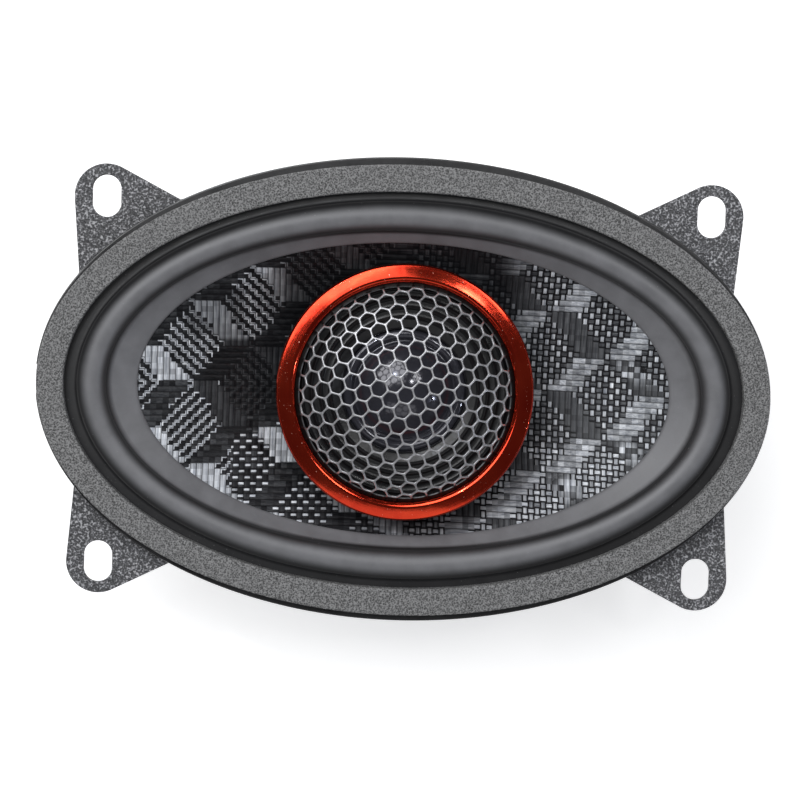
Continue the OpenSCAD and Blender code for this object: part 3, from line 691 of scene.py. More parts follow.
def smooth_line(route, steps):
    """A smooth path through the points of a route."""
    route = [np.array(p, float) for p in route]
    line = []
    for a, b, c, d in zip([route[0]] + route, route, route[1:], route[2:] + [route[-1]]):
        for k in range(steps):
            u = k / steps
            line.append(0.5 * (2 * b + (c - a) * u + (2 * a - 5 * b + 4 * c - d) * u * u
                               + (3 * b - a - 3 * c + d) * u ** 3))
    line.append(route[-1])
    return np.array(line)


# ---- Sizes that the pieces share, from the frame ----

def size(node):
    low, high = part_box(node)
    return np.array(low) / MM, np.array(high) / MM


(*_, FLANGE_TOP), (*_, RING_TOP) = size("spacer_ring")
GASKET_LOW, GASKET_HIGH = size("front_gasket")
GASKET_A, GASKET_B = GASKET_HIGH[:2]
BACK = size("pole_yoke")[0][2]
TWEETER_R, _, TWEETER_TOP = size("tweeter_ring")[1]

# Sizes that the boxes don't show, as the CAD source has them
RIM_A, RIM_B = 76.6, 48.4
SLOT = (63.0, 38.25)                    # middle of a screw slot
SLOT_W, SLOT_L = 5.9, 8.7
EAR_R = 6.7
EAR_ROOT = (27, 51)                     # degrees of the oval
NOTCH_W, NOTCH_DEPTH = 5.7, 1.4
SHEET = 1.0                             # thickness of the pressed steel
BOWL_START = (74.0, 45.8, 0.5)          # where the flat flange meets the bowl's mesh
MOUTH = (70.5, 42.3)                    # middle of the bowl's wall at its mouth
WINDOWS = ((0, 24), (61, 23), (119, 23), (180, 24), (241, 23), (299, 23))    # angle and width
WINDOW_TOP, WINDOW_LOW, WINDOW_CORNER = -4.8, -13.2, 2.5
RING_INSET = 7.3
GASKET_W = 5.6
SURROUND_T = 0.45
ROLL_R, ROLL_SQUASH = 3.05, 0.92
ROLL = (64.85, 36.35)                   # centre line of the surround's roll
EDGE = (61.7, 33.2, 4.2)                # the cone's front edge
NECK_R, CONE_DEPTH, CONE_T = 12.862, 18.2, 0.7
LIP_SHARE = 0.125                       # share of the cone's slope under the surround's lip
LEDGE_Z, CUP_MID_R, FLOOR_MID_Z, FLOOR_HOLE_R = -17.5, 31.0, -22.5, 17.0


# ---- Basket ----

def notch(a, b):
    """The shallow square notch at the right-hand end of an oval, from its lower corner to its upper one."""
    half, lead = NOTCH_W / 2, NOTCH_W / 2 + 0.7
    edge, start = (a * math.sqrt(1 - (y / b) ** 2) for y in (half, lead))
    floor = a - NOTCH_DEPTH
    line = [(start, -lead), (edge, -half), (floor, -half), (floor, half), (edge, half), (start, lead)]
    return np.array(rounded(line, [0, 0.55, 0.45, 0.45, 0.55, 0], 4, closed=False))


def notched_oval(a, b):
    """An oval with a notch at each end."""
    loop, clear = oval_loop(a, b), NOTCH_W / 2 + 0.9
    return np.concatenate([loop[loop[:, 1] >= clear], -notch(a, b), loop[loop[:, 1] <= -clear], notch(a, b)])


def flange_outline():
    """The flange's outline with its four ears and two notches."""
    roots = [circle_loop((RIM_A - 1) * math.cos(k), (RIM_B - 1) * math.sin(k), 1.0)
             for k in np.radians(np.linspace(*EAR_ROOT, 3))]
    lobes = np.concatenate([circle_loop(*SLOT, EAR_R, 72), *roots])
    ear = dense(lobes[convex_hull_2d(lobes.tolist())], 0.8)
    proud = (ear[:, 0] / RIM_A) ** 2 + (ear[:, 1] / RIM_B) ** 2 > 1.0004
    first = next(k for k in range(len(ear)) if proud[k] and not proud[k - 1])
    ear = np.roll(ear, -first, axis=0)[np.roll(proud, -first)]
    start, end = (math.atan2(y / RIM_B, x / RIM_A) for x, y in (ear[0], ear[-1]))
    rim = oval_loop(RIM_A, RIM_B)[1:72]
    angle = np.arctan2(rim[:, 1] / RIM_B, rim[:, 0] / RIM_A)
    gap = 0.006
    low = (rim[:, 1] >= NOTCH_W / 2 + 0.9) & (angle < start - gap)
    corner = notch(RIM_A, RIM_B)
    quarter = np.concatenate([[[RIM_A - NOTCH_DEPTH, 0.0]], corner[corner[:, 1] > 0], rim[low], ear,
                              rim[angle > end + gap]])
    top = np.concatenate([quarter, [[0.0, RIM_B]], quarter[::-1] * [-1, 1]])
    whole = np.concatenate([top, (top * [1, -1])[::-1]])
    return whole[np.linalg.norm(whole - np.roll(whole, 1, axis=0), axis=1) > 1e-3]


def slot_loop(x, y):
    half = (SLOT_L - SLOT_W) / 2
    loop = circle_loop(0, 0, SLOT_W / 2, 48)
    loop[:, 1] += np.where(loop[:, 1] > 1e-9, half, -half)
    return dense(loop, 0.8) + [x, y]


BOWL_STEPS = 288


def bowl_profile():
    """The middle of the bowl's wall from the flange to the floor's hole: distances along it and points (a, b, z)."""
    corners = [BOWL_START, (*MOUTH, 0.5), (69.0, 41.3, -4.0), (40.0, 36.7, -13.5), (36.0, 36.0, LEDGE_Z),
               (CUP_MID_R, CUP_MID_R, LEDGE_Z), (CUP_MID_R, CUP_MID_R, FLOOR_MID_Z),
               (FLOOR_HOLE_R, FLOOR_HOLE_R, FLOOR_MID_Z)]
    line = np.array(rounded(corners, [0, 2.2, 3.0, 3.2, 1.2, 1.1, 1.2, 0], 8, closed=False))
    length = np.concatenate([[0], np.cumsum(np.linalg.norm(np.diff(line, axis=0), axis=1))])
    even = np.linspace(0, length[-1], 150)
    return even, np.stack([np.interp(even, length, line[:, k]) for k in range(3)], -1)


def window_loop(angle, width, even, line, start, wide):
    """A window's outline on the bowl's flat pattern."""
    tall = (WINDOW_TOP - WINDOW_LOW) / 2
    outline = rounded_loop([(-width / 2, -tall), (width / 2, -tall), (width / 2, tall), (-width / 2, tall)],
                           WINDOW_CORNER, 8, 0.8)
    across, z = outline[:, 0], outline[:, 1] + (WINDOW_TOP + WINDOW_LOW) / 2
    fall = slice(np.argmin(np.abs(line[:, 2] + 0.5)), np.argmin(np.abs(line[:, 2] + 16.5)))
    s = np.interp(-z, -line[fall, 2], even[fall])
    a, b = np.interp(s, even, line[:, 0]), np.interp(s, even, line[:, 1])
    phi = math.radians(angle)
    along_x, along_y = b * math.cos(phi), a * math.sin(phi)
    t = np.arctan2(along_y, along_x) + np.arcsin(across / np.hypot(along_y, along_x))
    return np.stack([(t - start) % TURN * wide, -s], -1)


def bowl_skin():
    even, line = bowl_profile()
    slope = np.gradient(line, even, axis=0)
    wide = 50.0                         # width of the flat pattern for each radian
    start = math.pi / 2

    def surface(flat):
        t, s = start + flat[:, 0] / wide, -flat[:, 1]
        a, b, z = (np.interp(s, even, line[:, k]) for k in range(3))
        da, db, dz = (np.interp(s, even, slope[:, k]) for k in range(3))
        middle = np.stack([a * np.cos(t), b * np.sin(t), z], -1)
        across = np.stack([-a * np.sin(t), b * np.cos(t), np.zeros_like(a)], -1)
        down = np.stack([da * np.cos(t), db * np.sin(t), dz], -1)
        normal = np.cross(across, -down)
        return middle, normal / np.linalg.norm(normal, axis=1)[:, None]

    deep = even[-1]
    columns = np.arange(BOWL_STEPS + 1) / BOWL_STEPS * TURN * wide
    rows = np.linspace(0, deep, 76)
    border = np.concatenate([
        np.stack([columns, np.full(len(columns), -deep)], -1)[:-1],
        np.stack([np.full(len(rows), columns[-1]), -rows[::-1]], -1)[:-1],
        np.stack([columns[::-1], np.zeros(len(columns))], -1)[:-1],
        np.stack([np.zeros(len(rows)), -rows], -1)[:-1],
    ])
    windows = [window_loop(*window, even, line, start, wide) for window in WINDOWS]
    u, v = np.meshgrid(columns[1:-1], -rows[1:-1])
    spread = np.stack([u.ravel(), v.ravel()], -1)
    clear = ~inside(spread, windows)
    for k in range(0, len(spread), 2000):
        part = spread[k:k + 2000]
        clear[k:k + 2000] &= np.linalg.norm(part[:, None] - np.concatenate(windows)[None], axis=2).min(1) > 0.55
    return sheet_skin([border, *windows], surface, SHEET, 0.22, spread[clear], bare=(0,))


def basket_piece():
    """The bowl, the flange, the tongue that carries the terminal board, and the edge of the floor's hole."""
    t = np.arange(BOWL_STEPS) * TURN / BOWL_STEPS + math.pi / 2
    mouth = np.stack([BOWL_START[0] * np.cos(t), BOWL_START[1] * np.sin(t)], -1)
    slots = [slot_loop(sx * SLOT[0], sy * SLOT[1]) for sx in (-1, 1) for sy in (-1, 1)]
    plate = sheet_skin([flange_outline(), mouth, *slots], flat_at(0.5), SHEET, 0.20, bare=(1,))
    tongue = rounded_loop([(-54, -5.5), (-31.3, -5.5), (-31.3, 5.5), (-54, 5.5)], [1.5, 0, 0, 1.5], 5, 1.5)
    holes = [circle_loop(-46.5, 0, 1.3), circle_loop(-51.5, 0, 1.3), circle_loop(-38, 0, 2.0, 32)]
    flap = sheet_skin([tongue, *holes], flat_at(FLOOR_MID_Z), SHEET, 0.2)
    points, triangles, quads, total = [], [], [], 0
    for part, tri, quad in (bowl_skin(), plate, flap):
        points.append(part)
        triangles.append(tri + total)
        quads.append(quad + total)
        total += len(part)
    points.append(oval_grid([(FLOOR_HOLE_R, FLOOR_HOLE_R, FLOOR_MID_Z + k * SHEET / 2) for k in (1, -1)], BOWL_STEPS))
    quads.append(grid_faces(2, BOWL_STEPS) + total)
    points, faces = weld(np.concatenate(points), [np.concatenate(triangles), np.concatenate(quads)])
    return build("basket_pressing", points, faces, ["basket_paint"] * 2, 34)


even_normals(place(basket_piece(), FRAME, "basket_paint", "basket"))


# ---- Ring, gasket and surround ----

spacer = flat_sheet("spacer_band", [notched_oval(RIM_A, RIM_B), oval_loop(RIM_A - RING_INSET, RIM_B - RING_INSET)],
                    FLANGE_TOP, RING_TOP, 0.35, "black_plastic")
even_normals(place(spacer, FRAME, "black_plastic", "spacer_ring"))


def foam_gasket():
    steps, knots = 1440, 90
    low, high = GASKET_LOW[2], GASKET_HIGH[2]
    corners = [(0, low), (0, high), (-GASKET_W, high), (-GASKET_W, low)]
    outline = rounded_loop(corners, [0.25, 0.55, 0.50, 0.25], 4, 0.45)
    points = oval_grid([(GASKET_A + d, GASKET_B + d, z) for d, z in outline], steps)
    rough = np.random.default_rng(7)
    points += rough.normal(0, 0.022, points.shape)
    slow = rough.normal(0, 1, (len(outline), knots))
    at = np.arange(steps) / steps * knots
    wave = np.array([np.interp(at, np.arange(knots + 1), np.append(r, r[0])) for r in slow])
    points[:, 2] += 0.03 * wave.ravel() * (points[:, 2] > (low + high) / 2)
    points[:, 2] = np.clip(points[:, 2], low, high + 0.05)
    faces = outward(points, grid_faces(len(outline), steps, wrap_rows=True))
    return build("foam_gasket", points, faces, "gasket_foam", 180)


place(foam_gasket(), FRAME, "gasket_foam", "front_gasket")


def cone_at(share, up=0.0):
    """(a, b, z) of the cone's front face at a share of the way from its edge to its neck."""
    return (EDGE[0] + share * (NECK_R - EDGE[0]), EDGE[1] + share * (NECK_R - EDGE[1]),
            EDGE[2] - CONE_DEPTH * share + up)


def roll_at(r, degrees):
    turn = math.radians(degrees)
    return (ROLL[0] + r * math.cos(turn), ROLL[1] + r * math.cos(turn),
            GASKET_LOW[2] + ROLL_SQUASH * r * math.sin(turn))


def surround_piece():
    base = GASKET_LOW[2]
    skirt = (GASKET_A - 0.6, GASKET_B - 0.6)
    outside = ROLL_R + np.array([0.75, 0.28, 0.0])
    far, near, foot = ((ROLL[0] + out, ROLL[1] + out) for out in outside)
    rings = [(*skirt, base - SURROUND_T), (*skirt, base - 0.01), (*far, base - 0.01), (*near, base + 0.04)]
    rings += [roll_at(ROLL_R, k) for k in np.linspace(9, 171, 40)]
    rings += [cone_at(f, SURROUND_T + 0.10) for f in np.linspace(0.010, LIP_SHARE - 0.012, 9)]
    rings += [cone_at(LIP_SHARE - 0.004, SURROUND_T + 0.06), cone_at(LIP_SHARE, SURROUND_T - 0.08)]
    rings += [cone_at(f, 0.06) for f in (LIP_SHARE, LIP_SHARE - 0.03, 0.03, 0.0)]
    rings += [roll_at(ROLL_R - SURROUND_T, k) for k in np.linspace(172, 6, 28)]
    rings += [(*foot, base - SURROUND_T)]
    piece = loft("surround_roll", rings, "surround_rubber", 360, 60)

    def share(points):
        """0 at the roll's outer foot and 1 at its inner one."""
        turn = np.arctan2(points[:, 1] / ROLL[1], points[:, 0] / ROLL[0])
        middle = np.hypot(ROLL[0] * np.cos(turn), ROLL[1] * np.sin(turn))
        distance = np.hypot(points[:, 0], points[:, 1]) - middle
        return (ROLL_R - distance) / (2 * ROLL_R)

    across = share(points_of(piece))
    # painted shade: 0 at and beyond the roll's outer foot and at its inner foot, rising to 1 over the roll and again
    # onto the lip
    unshaded = np.minimum((across - 0.04) / 0.42, (1.02 - across) / 0.30)
    mark(piece, "unshaded", "POINT", ease(np.where(across > 1.03, (across - 1.05) / 0.10, unshaded)))
    place_between(piece, "surround", share)


surround_piece()


# ---- Cone ----

TOW_X, TOW_Y = 1.25, 1.22               # pitch of the tows
PATTERN = (42.7, -0.4)                  # middle of one plain-weave diamond
REPEAT = (20, 14)                       # tows in one repeat
PLAIN = 5.5                             # tows from a diamond's middle to its side corner
TOW_HEIGHT = 0.16
CELL = np.array([0.0, 0.23, 0.41, 0.59, 0.77])      # where each crossing of two tows is cut
SHARE_LOW, SHARE_HIGH = 0.03, 1.0       # the part of the cone's slope that shows its weave


def cone_share(x, y):
    """The share of the cone's slope at which its face passes over (x, y)."""
    low, high = np.full(x.shape, -0.1), np.full(x.shape, 1.2)
    for _ in range(40):
        middle = (low + high) / 2
        a, b, _z = cone_at(middle)
        out = (x / a) ** 2 + (y / b) ** 2 > 1
        high, low = np.where(out, middle, high), np.where(out, low, middle)
    return (low + high) / 2


def weave_draft(m, n):
    """Which tow is on top in cell (m, n), 1 for one that runs along Y, and the cell's zone: 0 plain weave, 1 floats
    along X, 2 floats along Y."""
    half_x, half_y = REPEAT[0] / 2, REPEAT[1] / 2
    x = (m + half_x) % REPEAT[0] - half_x
    y = (n + half_y) % REPEAT[1] - half_y
    near = np.abs(x) <= PLAIN * (1 - np.abs(y) / half_y)
    far = np.abs(x) >= half_x - PLAIN * np.abs(y) / half_y
    zone = np.where(near | far, 0, np.where((x > 0) == (y > 0), 2, 1))
    return np.where(zone == 0, (m + n) % 2, zone - 1), zone


def tow_section(w):
    return np.sqrt(np.clip(1 - np.abs(2 * w - 1) ** 2.6, 0, 1))


def along_tow(w, joined_before, joined_after):
    """Height along a tow, which dips only where it goes under its neighbour."""
    dip = tow_section(w) ** 0.8
    return np.where(w < 0.5, np.where(joined_before, 1.0, dip), np.where(joined_after, 1.0, dip))


def weave_sheet():
    """The woven face: its points and faces, each face's tow, zone, luck and place in its cell, and each point's
    height over the cone."""
    m, n = (np.arange(math.floor((-reach - middle) / pitch), math.ceil((reach - middle) / pitch) + 1)
            for reach, middle, pitch in ((60, PATTERN[0], TOW_X), (33, PATTERN[1], TOW_Y)))
    top, zone = weave_draft(m[:, None], n[None, :])
    cuts = len(CELL)
    u, v = np.tile(CELL, len(m)), np.tile(CELL, len(n))
    cell_m, cell_n = np.repeat(np.arange(len(m)), cuts), np.repeat(np.arange(len(n)), cuts)
    X, Y = np.meshgrid((np.repeat(m, cuts) - 0.5 + u) * TOW_X + PATTERN[0],
                       (np.repeat(n, cuts) - 0.5 + v) * TOW_Y + PATTERN[1], indexing="ij")
    U, V = np.meshgrid(u, v, indexing="ij")
    cell = cell_m[:, None], cell_n[None, :]
    up = top[cell]
    before_m, after_m, before_n, after_n = (np.roll(top, step, axis=axis)[cell] for axis in (0, 1) for step in (1, -1))
    height = np.where(up == 1, tow_section(U) * along_tow(V, before_n == 1, after_n == 1),
                      tow_section(V) * along_tow(U, before_m == 0, after_m == 0))
    # a corner or border between cells takes the height that both sides agree on
    height = np.where((U == 0) & ((up == 1) | (before_m == 1)), 0, height)
    height = np.where((V == 0) & ((up == 0) | (before_n == 0)), 0, height)

    # points beyond the woven part are pulled in to its border
    share = cone_share(X, Y)
    kept = np.clip(share, SHARE_LOW, SHARE_HIGH)
    a, b, z = cone_at(kept)
    pull = np.where(share != kept, 1 / np.sqrt((X / a) ** 2 + (Y / b) ** 2 + 1e-9), 1)
    rise = np.where(share != kept, 0, height) * TOW_HEIGHT
    X, Y = X * pull, Y * pull
    slope = CONE_DEPTH / np.maximum(np.hypot(X, Y) / np.maximum(1 - kept * 0.79, 0.1), 1) * 0.75
    out_x, out_y = X / (a * a), Y / (b * b)
    lean = np.clip(slope, 0, 0.9) / (np.hypot(out_x, out_y) + 1e-9)
    normal = np.stack([-out_x * lean, -out_y * lean, np.ones_like(X)], -1)
    normal /= np.linalg.norm(normal, axis=-1)[..., None]
    points = np.stack([X, Y, z + 0.03], -1) + normal * rise[..., None]

    cols = X.shape[1]
    faces = grid_faces(*X.shape, wrap_cols=False)
    faces = faces[(share == kept).ravel()[faces].any(1)]
    row, col = faces[:, 0] // cols, faces[:, 0] % cols
    where = cell_m[row], cell_n[col]
    luck = np.random.default_rng(11).normal(0, 1, (len(m), len(n)))
    used, index = np.unique(faces, return_inverse=True)
    return (points.reshape(-1, 3)[used], index.reshape(faces.shape), top[where], zone[where], luck[where],
            (row % cuts, col % cuts), height.ravel()[used])


def between(value, low, high):
    """Rises smoothly from 0 to 1 between low and high."""
    return ease((value - low) / (high - low))


def weave_light_and_tone(centre, top, zone, luck, sub):
    """How light each face of the weave is painted. Painted highlights stand for the light that the resin catches on the
    flanks of the tows on the left-hand side and on their crowns on the right-hand side; painted highlights and painted
    shade make the floats lighter on one side than the other; painted shade darkens parts that face away from the light;
    and each tow's luck gives it a random tone."""
    x, y = centre[:, 0], centre[:, 1]
    sub_x, sub_y = sub
    right = between(x, -12, 12)
    last = len(CELL) - 1
    # painted highlights on the plain weave: the flanks of the tows on the left-hand side, the crowns of the tows along
    # X in its lower left, and the crowns on the right-hand side
    flank = ((sub_x == 0) & (top == 1) & (sub_y > 0)) | ((sub_x == last) & (top == 0) & (sub_y < last))
    lower = ((sub_y == 0) & (top == 0)) | ((sub_y == last) & (top == 1))
    upper = ((sub_y == last) & (top == 0)) | ((sub_y == 0) & (top == 1))
    flank |= np.where(y < 0, lower, upper)
    across = np.where(top == 0, sub_y, sub_x)
    crown = np.abs(across - 2) <= 1
    lower_left = (x > -36) & (y < -7)
    plain_left = np.where(lower_left, np.where((top == 0) & crown & (across >= 2), 1.0, 0.03),
                          np.where(flank, 1.0, 0.015))
    plain_right = np.where(crown, np.where(top == 1, 0.60, np.where(y < -12, 0.75, 0.12)), 0.0)
    # painted highlights and painted shade: the floats along X are light on the right-hand side and dark on the left,
    # and the floats along Y are the other way round
    tone = np.select([zone == 0, zone == 1], [plain_left * (1 - right) + plain_right * right,
                                              0.03 * (1 - right) + 0.52 * right], 0.80 * (1 - right) + 0.10 * right)
    # painted highlights: bright patches on the floats along Y, middle and reach
    for at_x, at_y, wide, high in ((48.2, 5.5, 4.5, 2.6), (35.3, -20.0, 4.0, 3.0), (48.2, -11.5, 2.6, 2.4),
                                   (-2.0, -31.0, 5.0, 2.0)):
        near = np.exp(-((x - at_x) / wide) ** 2 - ((y - at_y) / high) ** 2)
        tone = np.where(zone == 2, np.maximum(tone, near * (0.72 + 0.3 * luck)), tone)
    # painted shade on parts of the cone that face away from the light
    low_edge = np.where(x < -30.5, -11.0, -7.5)
    begin = np.where(zone == 0, -38.5, -45)
    beside = between(x - begin, -1, 1) * between(y - low_edge, -1, 1) * between(-y, -11, -8.5) * (1 - right)
    upper_left = between(-np.abs(x + 40), -7, -5) * between(-np.abs(y - 15), -6, -4.5)
    above = between(-np.abs(x + 2), -33, -21) * between(y, 4, 13)
    below = between(-np.abs(x), -24, -10) * between(-y, 10, 22)
    shade = (1 - 0.95 * beside) * (1 - 0.93 * above) * (1 - 0.6 * below) * (1 - 0.62 * upper_left)
    return np.clip((tone + 0.14 * luck * (tone > 0.2) + 0.02 * luck) * shade, 0, 1)


def cone_piece():
    points, faces, top, zone, luck, sub, height = weave_sheet()
    a, b, c = (points[faces[:, k]] for k in range(3))
    if np.cross(b - a, c - a)[:, 2].sum() < 0:
        faces = faces[:, ::-1]
    shares = np.linspace(0, 1, 5)
    rings = [cone_at(f, -0.02) for f in shares] + [cone_at(f, -CONE_T) for f in shares[::-1]]
    shell = oval_grid(rings, 288)
    shell_faces = outward(shell, grid_faces(len(rings), 288, wrap_rows=True))[0]
    piece = build("woven_cone", np.concatenate([points, shell]), [faces, shell_faces + len(points)],
                  ["cone_weave", "cone_back"], 180)
    tone = weave_light_and_tone(points[faces].mean(1), top, zone, luck, sub)
    for name, domain, values, plain in (("upright", "FACE", top, shell_faces), ("tone", "FACE", tone, shell_faces),
                                        ("crown", "POINT", height, shell)):
        mark(piece, name, domain, np.concatenate([values, np.zeros(len(plain))]))
    return piece


place(cone_piece(), CONE, "cone_weave", "cone")


# ---- Spider, coil and motor ----

SPIDER_IN, SPIDER_OUT, SPIDER_EDGE = 14.2, 30.2, 34.6
SPIDER_Z, SPIDER_T, SPIDER_WAVES = -17.0, 0.5, 6
FORMER_IN, FORMER_OUT = 12.7, 12.85


def spider_piece():
    share = np.linspace(0, 1, 97)
    line = [(FORMER_OUT + 0.02, 0), *zip(SPIDER_IN + share * (SPIDER_OUT - SPIDER_IN),
                                         0.75 * np.sin(TURN * SPIDER_WAVES * share)), (SPIDER_EDGE, 0)]
    rings = [(r, r, SPIDER_Z + SPIDER_T + w) for r, w in line] + [(r, r, SPIDER_Z + w) for r, w in line[::-1]]
    piece = loft("corrugated_spider", rings, "spider_cloth", 192, 60)
    moving = SPIDER_EDGE - 3            # the edge beyond this is glued to the ledge
    place_between(piece, "spider",
                  lambda p: 1 - (np.hypot(p[:, 0], p[:, 1]) - FORMER_OUT) / (moving - FORMER_OUT))


spider_piece()


def ring_of(node, r_in, radius, r_out=None):
    """The section of a ring as tall and, if r_out isn't given, as wide as the CAD node."""
    low, high = size(node)
    r_out = r_out or high[0]
    return rounded([(r_in, low[2]), (r_out, low[2]), (r_out, high[2]), (r_in, high[2])], radius, 5)


front_plate = lathe("front_plate_turned", ring_of("front_plate", 13.75, 0.45), "plated_steel", 192)
even_normals(place(front_plate, FRAME, "plated_steel", "front_plate"))
magnet = lathe("ferrite_ring", ring_of("ferrite_magnet", 16.5, 0.8), "ferrite", 256)
even_normals(place(magnet, FRAME, "ferrite", "ferrite_magnet"))
former = lathe("former_tube", ring_of("voice_coil_former", FORMER_IN, 0.04, FORMER_OUT), "former_film", 160, 50)
place(former, CONE, "former_film", "voice_coil_former")


def winding_piece():
    low, high = (v[2] for v in size("voice_coil_winding"))
    turns = round((high - low) / 0.25)
    outline = [(FORMER_OUT + 0.01, low), (FORMER_OUT + 0.30, low)]
    for k in range(turns):
        z = low + (high - low) * (k + 0.5) / turns
        outline += [(13.22, z - 0.11), (13.34, z - 0.05), (13.35, z), (13.34, z + 0.05), (13.22, z + 0.11)]
    outline += [(FORMER_OUT + 0.30, high), (FORMER_OUT + 0.01, high)]
    return lathe("wound_coil", outline, "copper_wire", smooth=180)


place(winding_piece(), CONE, "copper_wire", "voice_coil_winding")


# ---- Tweeter ----

OPEN_R = 22.7                           # the ring's opening
RING_LOW, SEAT_Z, SEAT_R, SKIRT_R = 2.2, 5.0, 24.22, 24.52
MESH_FOOT_R, MESH_FLANGE_R, MESH_EDGE_Z = 22.6, 24.2, TWEETER_TOP - 1.8
MESH_PITCH, MESH_WEB, MESH_TURN, MESH_T = 3.25, 0.42, 18.0, 0.45


def tweeter_ring_piece():
    top = TWEETER_TOP
    outline = rounded([
        (SKIRT_R, RING_LOW), (TWEETER_R - 0.8, RING_LOW), (TWEETER_R, 3.0), (TWEETER_R, top - 0.95),
        (TWEETER_R - 0.34, top - 0.46), (TWEETER_R - 1.9, top - 0.18), (OPEN_R + 0.80, top),
        (OPEN_R + 0.04, top - 0.60), (OPEN_R, top - 1.3), (SEAT_R, top - 1.3), (SEAT_R, SEAT_Z), (SKIRT_R, SEAT_Z),
    ], [0.1, 0.3, 0.4, 0.12, 0.10, 3.2, 0.50, 0.30, 0.06, 0, 0, 0], 8)
    return lathe("anodised_ring", outline, "red_anodised", 384, 60)


place(tweeter_ring_piece(), FRAME, "red_anodised", "tweeter_ring")


def clipped_polygon(subject, clip):
    """The part of a convex polygon inside another, both anticlockwise."""
    out = [tuple(p) for p in subject]
    for a, b in zip(clip, np.roll(clip, -1, axis=0)):
        line, out = out, []
        for p, q in zip(line, line[1:] + line[:1]):
            side_p = (b[0] - a[0]) * (p[1] - a[1]) - (b[1] - a[1]) * (p[0] - a[0])
            side_q = (b[0] - a[0]) * (q[1] - a[1]) - (b[1] - a[1]) * (q[0] - a[0])
            if side_p >= 0:
                out.append(p)
            if (side_p >= 0) != (side_q >= 0):
                u = side_p / (side_p - side_q)
                out.append((p[0] + (q[0] - p[0]) * u, p[1] + (q[1] - p[1]) * u))
        if not out:
            return np.zeros((0, 2))
    return np.array(out)


def polygon_area(loop):
    nxt = np.roll(loop, -1, axis=0)
    return 0.5 * float((loop[:, 0] * nxt[:, 1] - loop[:, 1] * nxt[:, 0]).sum())


def mesh_holes(arc):
    """Hexagons on the flat pattern, cut short where they cross the circle of radius arc."""
    radius = (MESH_PITCH - MESH_WEB) / math.sqrt(3)
    corners = [(radius * math.sin(k), radius * math.cos(k)) for k in -np.arange(6) * TURN / 6]
    cell = np.array(rounded(corners, 0.34, 2))
    rim = oval_loop(arc, arc, 240)
    c, s = math.cos(math.radians(MESH_TURN)), math.sin(math.radians(MESH_TURN))
    count = math.ceil(arc / MESH_PITCH) + 2
    holes = []
    for j in range(-count, count + 1):
        for i in range(-count, count + 1):
            x, y = (i + (j % 2) / 2) * MESH_PITCH, j * MESH_PITCH * math.sqrt(3) / 2
            if math.hypot(x, y) - radius > arc:
                continue
            loop = cell + [x, y]
            if math.hypot(x, y) + radius > arc:
                loop = clipped_polygon(loop, rim)
                if len(loop) < 4 or polygon_area(loop) < 0.45:
                    continue
                loop = loop[np.linalg.norm(loop - np.roll(loop, 1, axis=0), axis=1) > 0.12]
                if len(loop) < 4:
                    continue
            holes.append(loop @ np.array([[c, s], [-s, c]]))
    return holes


def grille_piece():
    rise = size("tweeter_grille")[1][2] - MESH_EDGE_Z
    foot_z = MESH_EDGE_Z + MESH_T / 2
    foot_r = MESH_FOOT_R - MESH_T / 2 - 0.32

    # the section of the formed sheet: a quarter oval, a tight bend, and the flat flange under the ring
    section = [(foot_r * math.sin(k), foot_z + (rise - MESH_T) * math.cos(k))
               for k in np.linspace(0, math.radians(84), 160)]
    tail = rounded([section[-1], (foot_r, foot_z), (MESH_FLANGE_R + 1.4, foot_z)], [0, 0.35, 0], 6, closed=False)
    section = np.array(section + tail[1:])
    length = np.concatenate([[0], np.cumsum(np.linalg.norm(np.diff(section, axis=0), axis=1))])
    slope = np.gradient(section, length, axis=0)

    def surface(flat):
        reach = np.hypot(flat[:, 0], flat[:, 1])
        r, z, dr, dz = (np.interp(reach, length, line[:, k]) for line in (section, slope) for k in (0, 1))
        c, s = (np.where(reach > 1e-9, flat[:, k] / np.maximum(reach, 1e-9), 1.0 - k) for k in (0, 1))
        normal = np.stack([-dz * c, -dz * s, dr], -1)
        return np.stack([r * c, r * s, z], -1), normal / np.linalg.norm(normal, axis=1)[:, None]

    arc, limit = (np.interp(r, section[:, 0], length) for r in (foot_r - 0.12, MESH_FLANGE_R))
    loops = [oval_loop(limit, limit, 240), *mesh_holes(arc)]
    return sheet("hex_grille", loops, surface, MESH_T, 0.14, "grille_mesh", 50)


place(grille_piece(), FRAME, "grille_mesh", "tweeter_grille")


def faceplate_piece():
    low, high = size("tweeter_faceplate")
    outer, inner = high[0], 13.0
    rib = 0.6                           # height of the four ribs
    top = high[2] - rib
    outline = [(inner, low[2]), (outer, low[2]), (outer, top - 0.1), (outer - 0.3, top)]
    for k in range(4, 0, -1):
        r = inner + k * (outer - inner) / 5
        outline += [(r + out, top + up) for out, up in (
            (0.95, 0), (0.72, 0.14), (0.58, 0.48), (0.42, rib), (0.24, 0.48), (0.08, 0.14), (-0.12, 0))]
    outline += [(inner + 0.35, top), (inner, top - 0.3)]
    return lathe("ribbed_faceplate", outline, "black_plastic", 256, 60)


place(faceplate_piece(), FRAME, "black_plastic", "tweeter_faceplate")


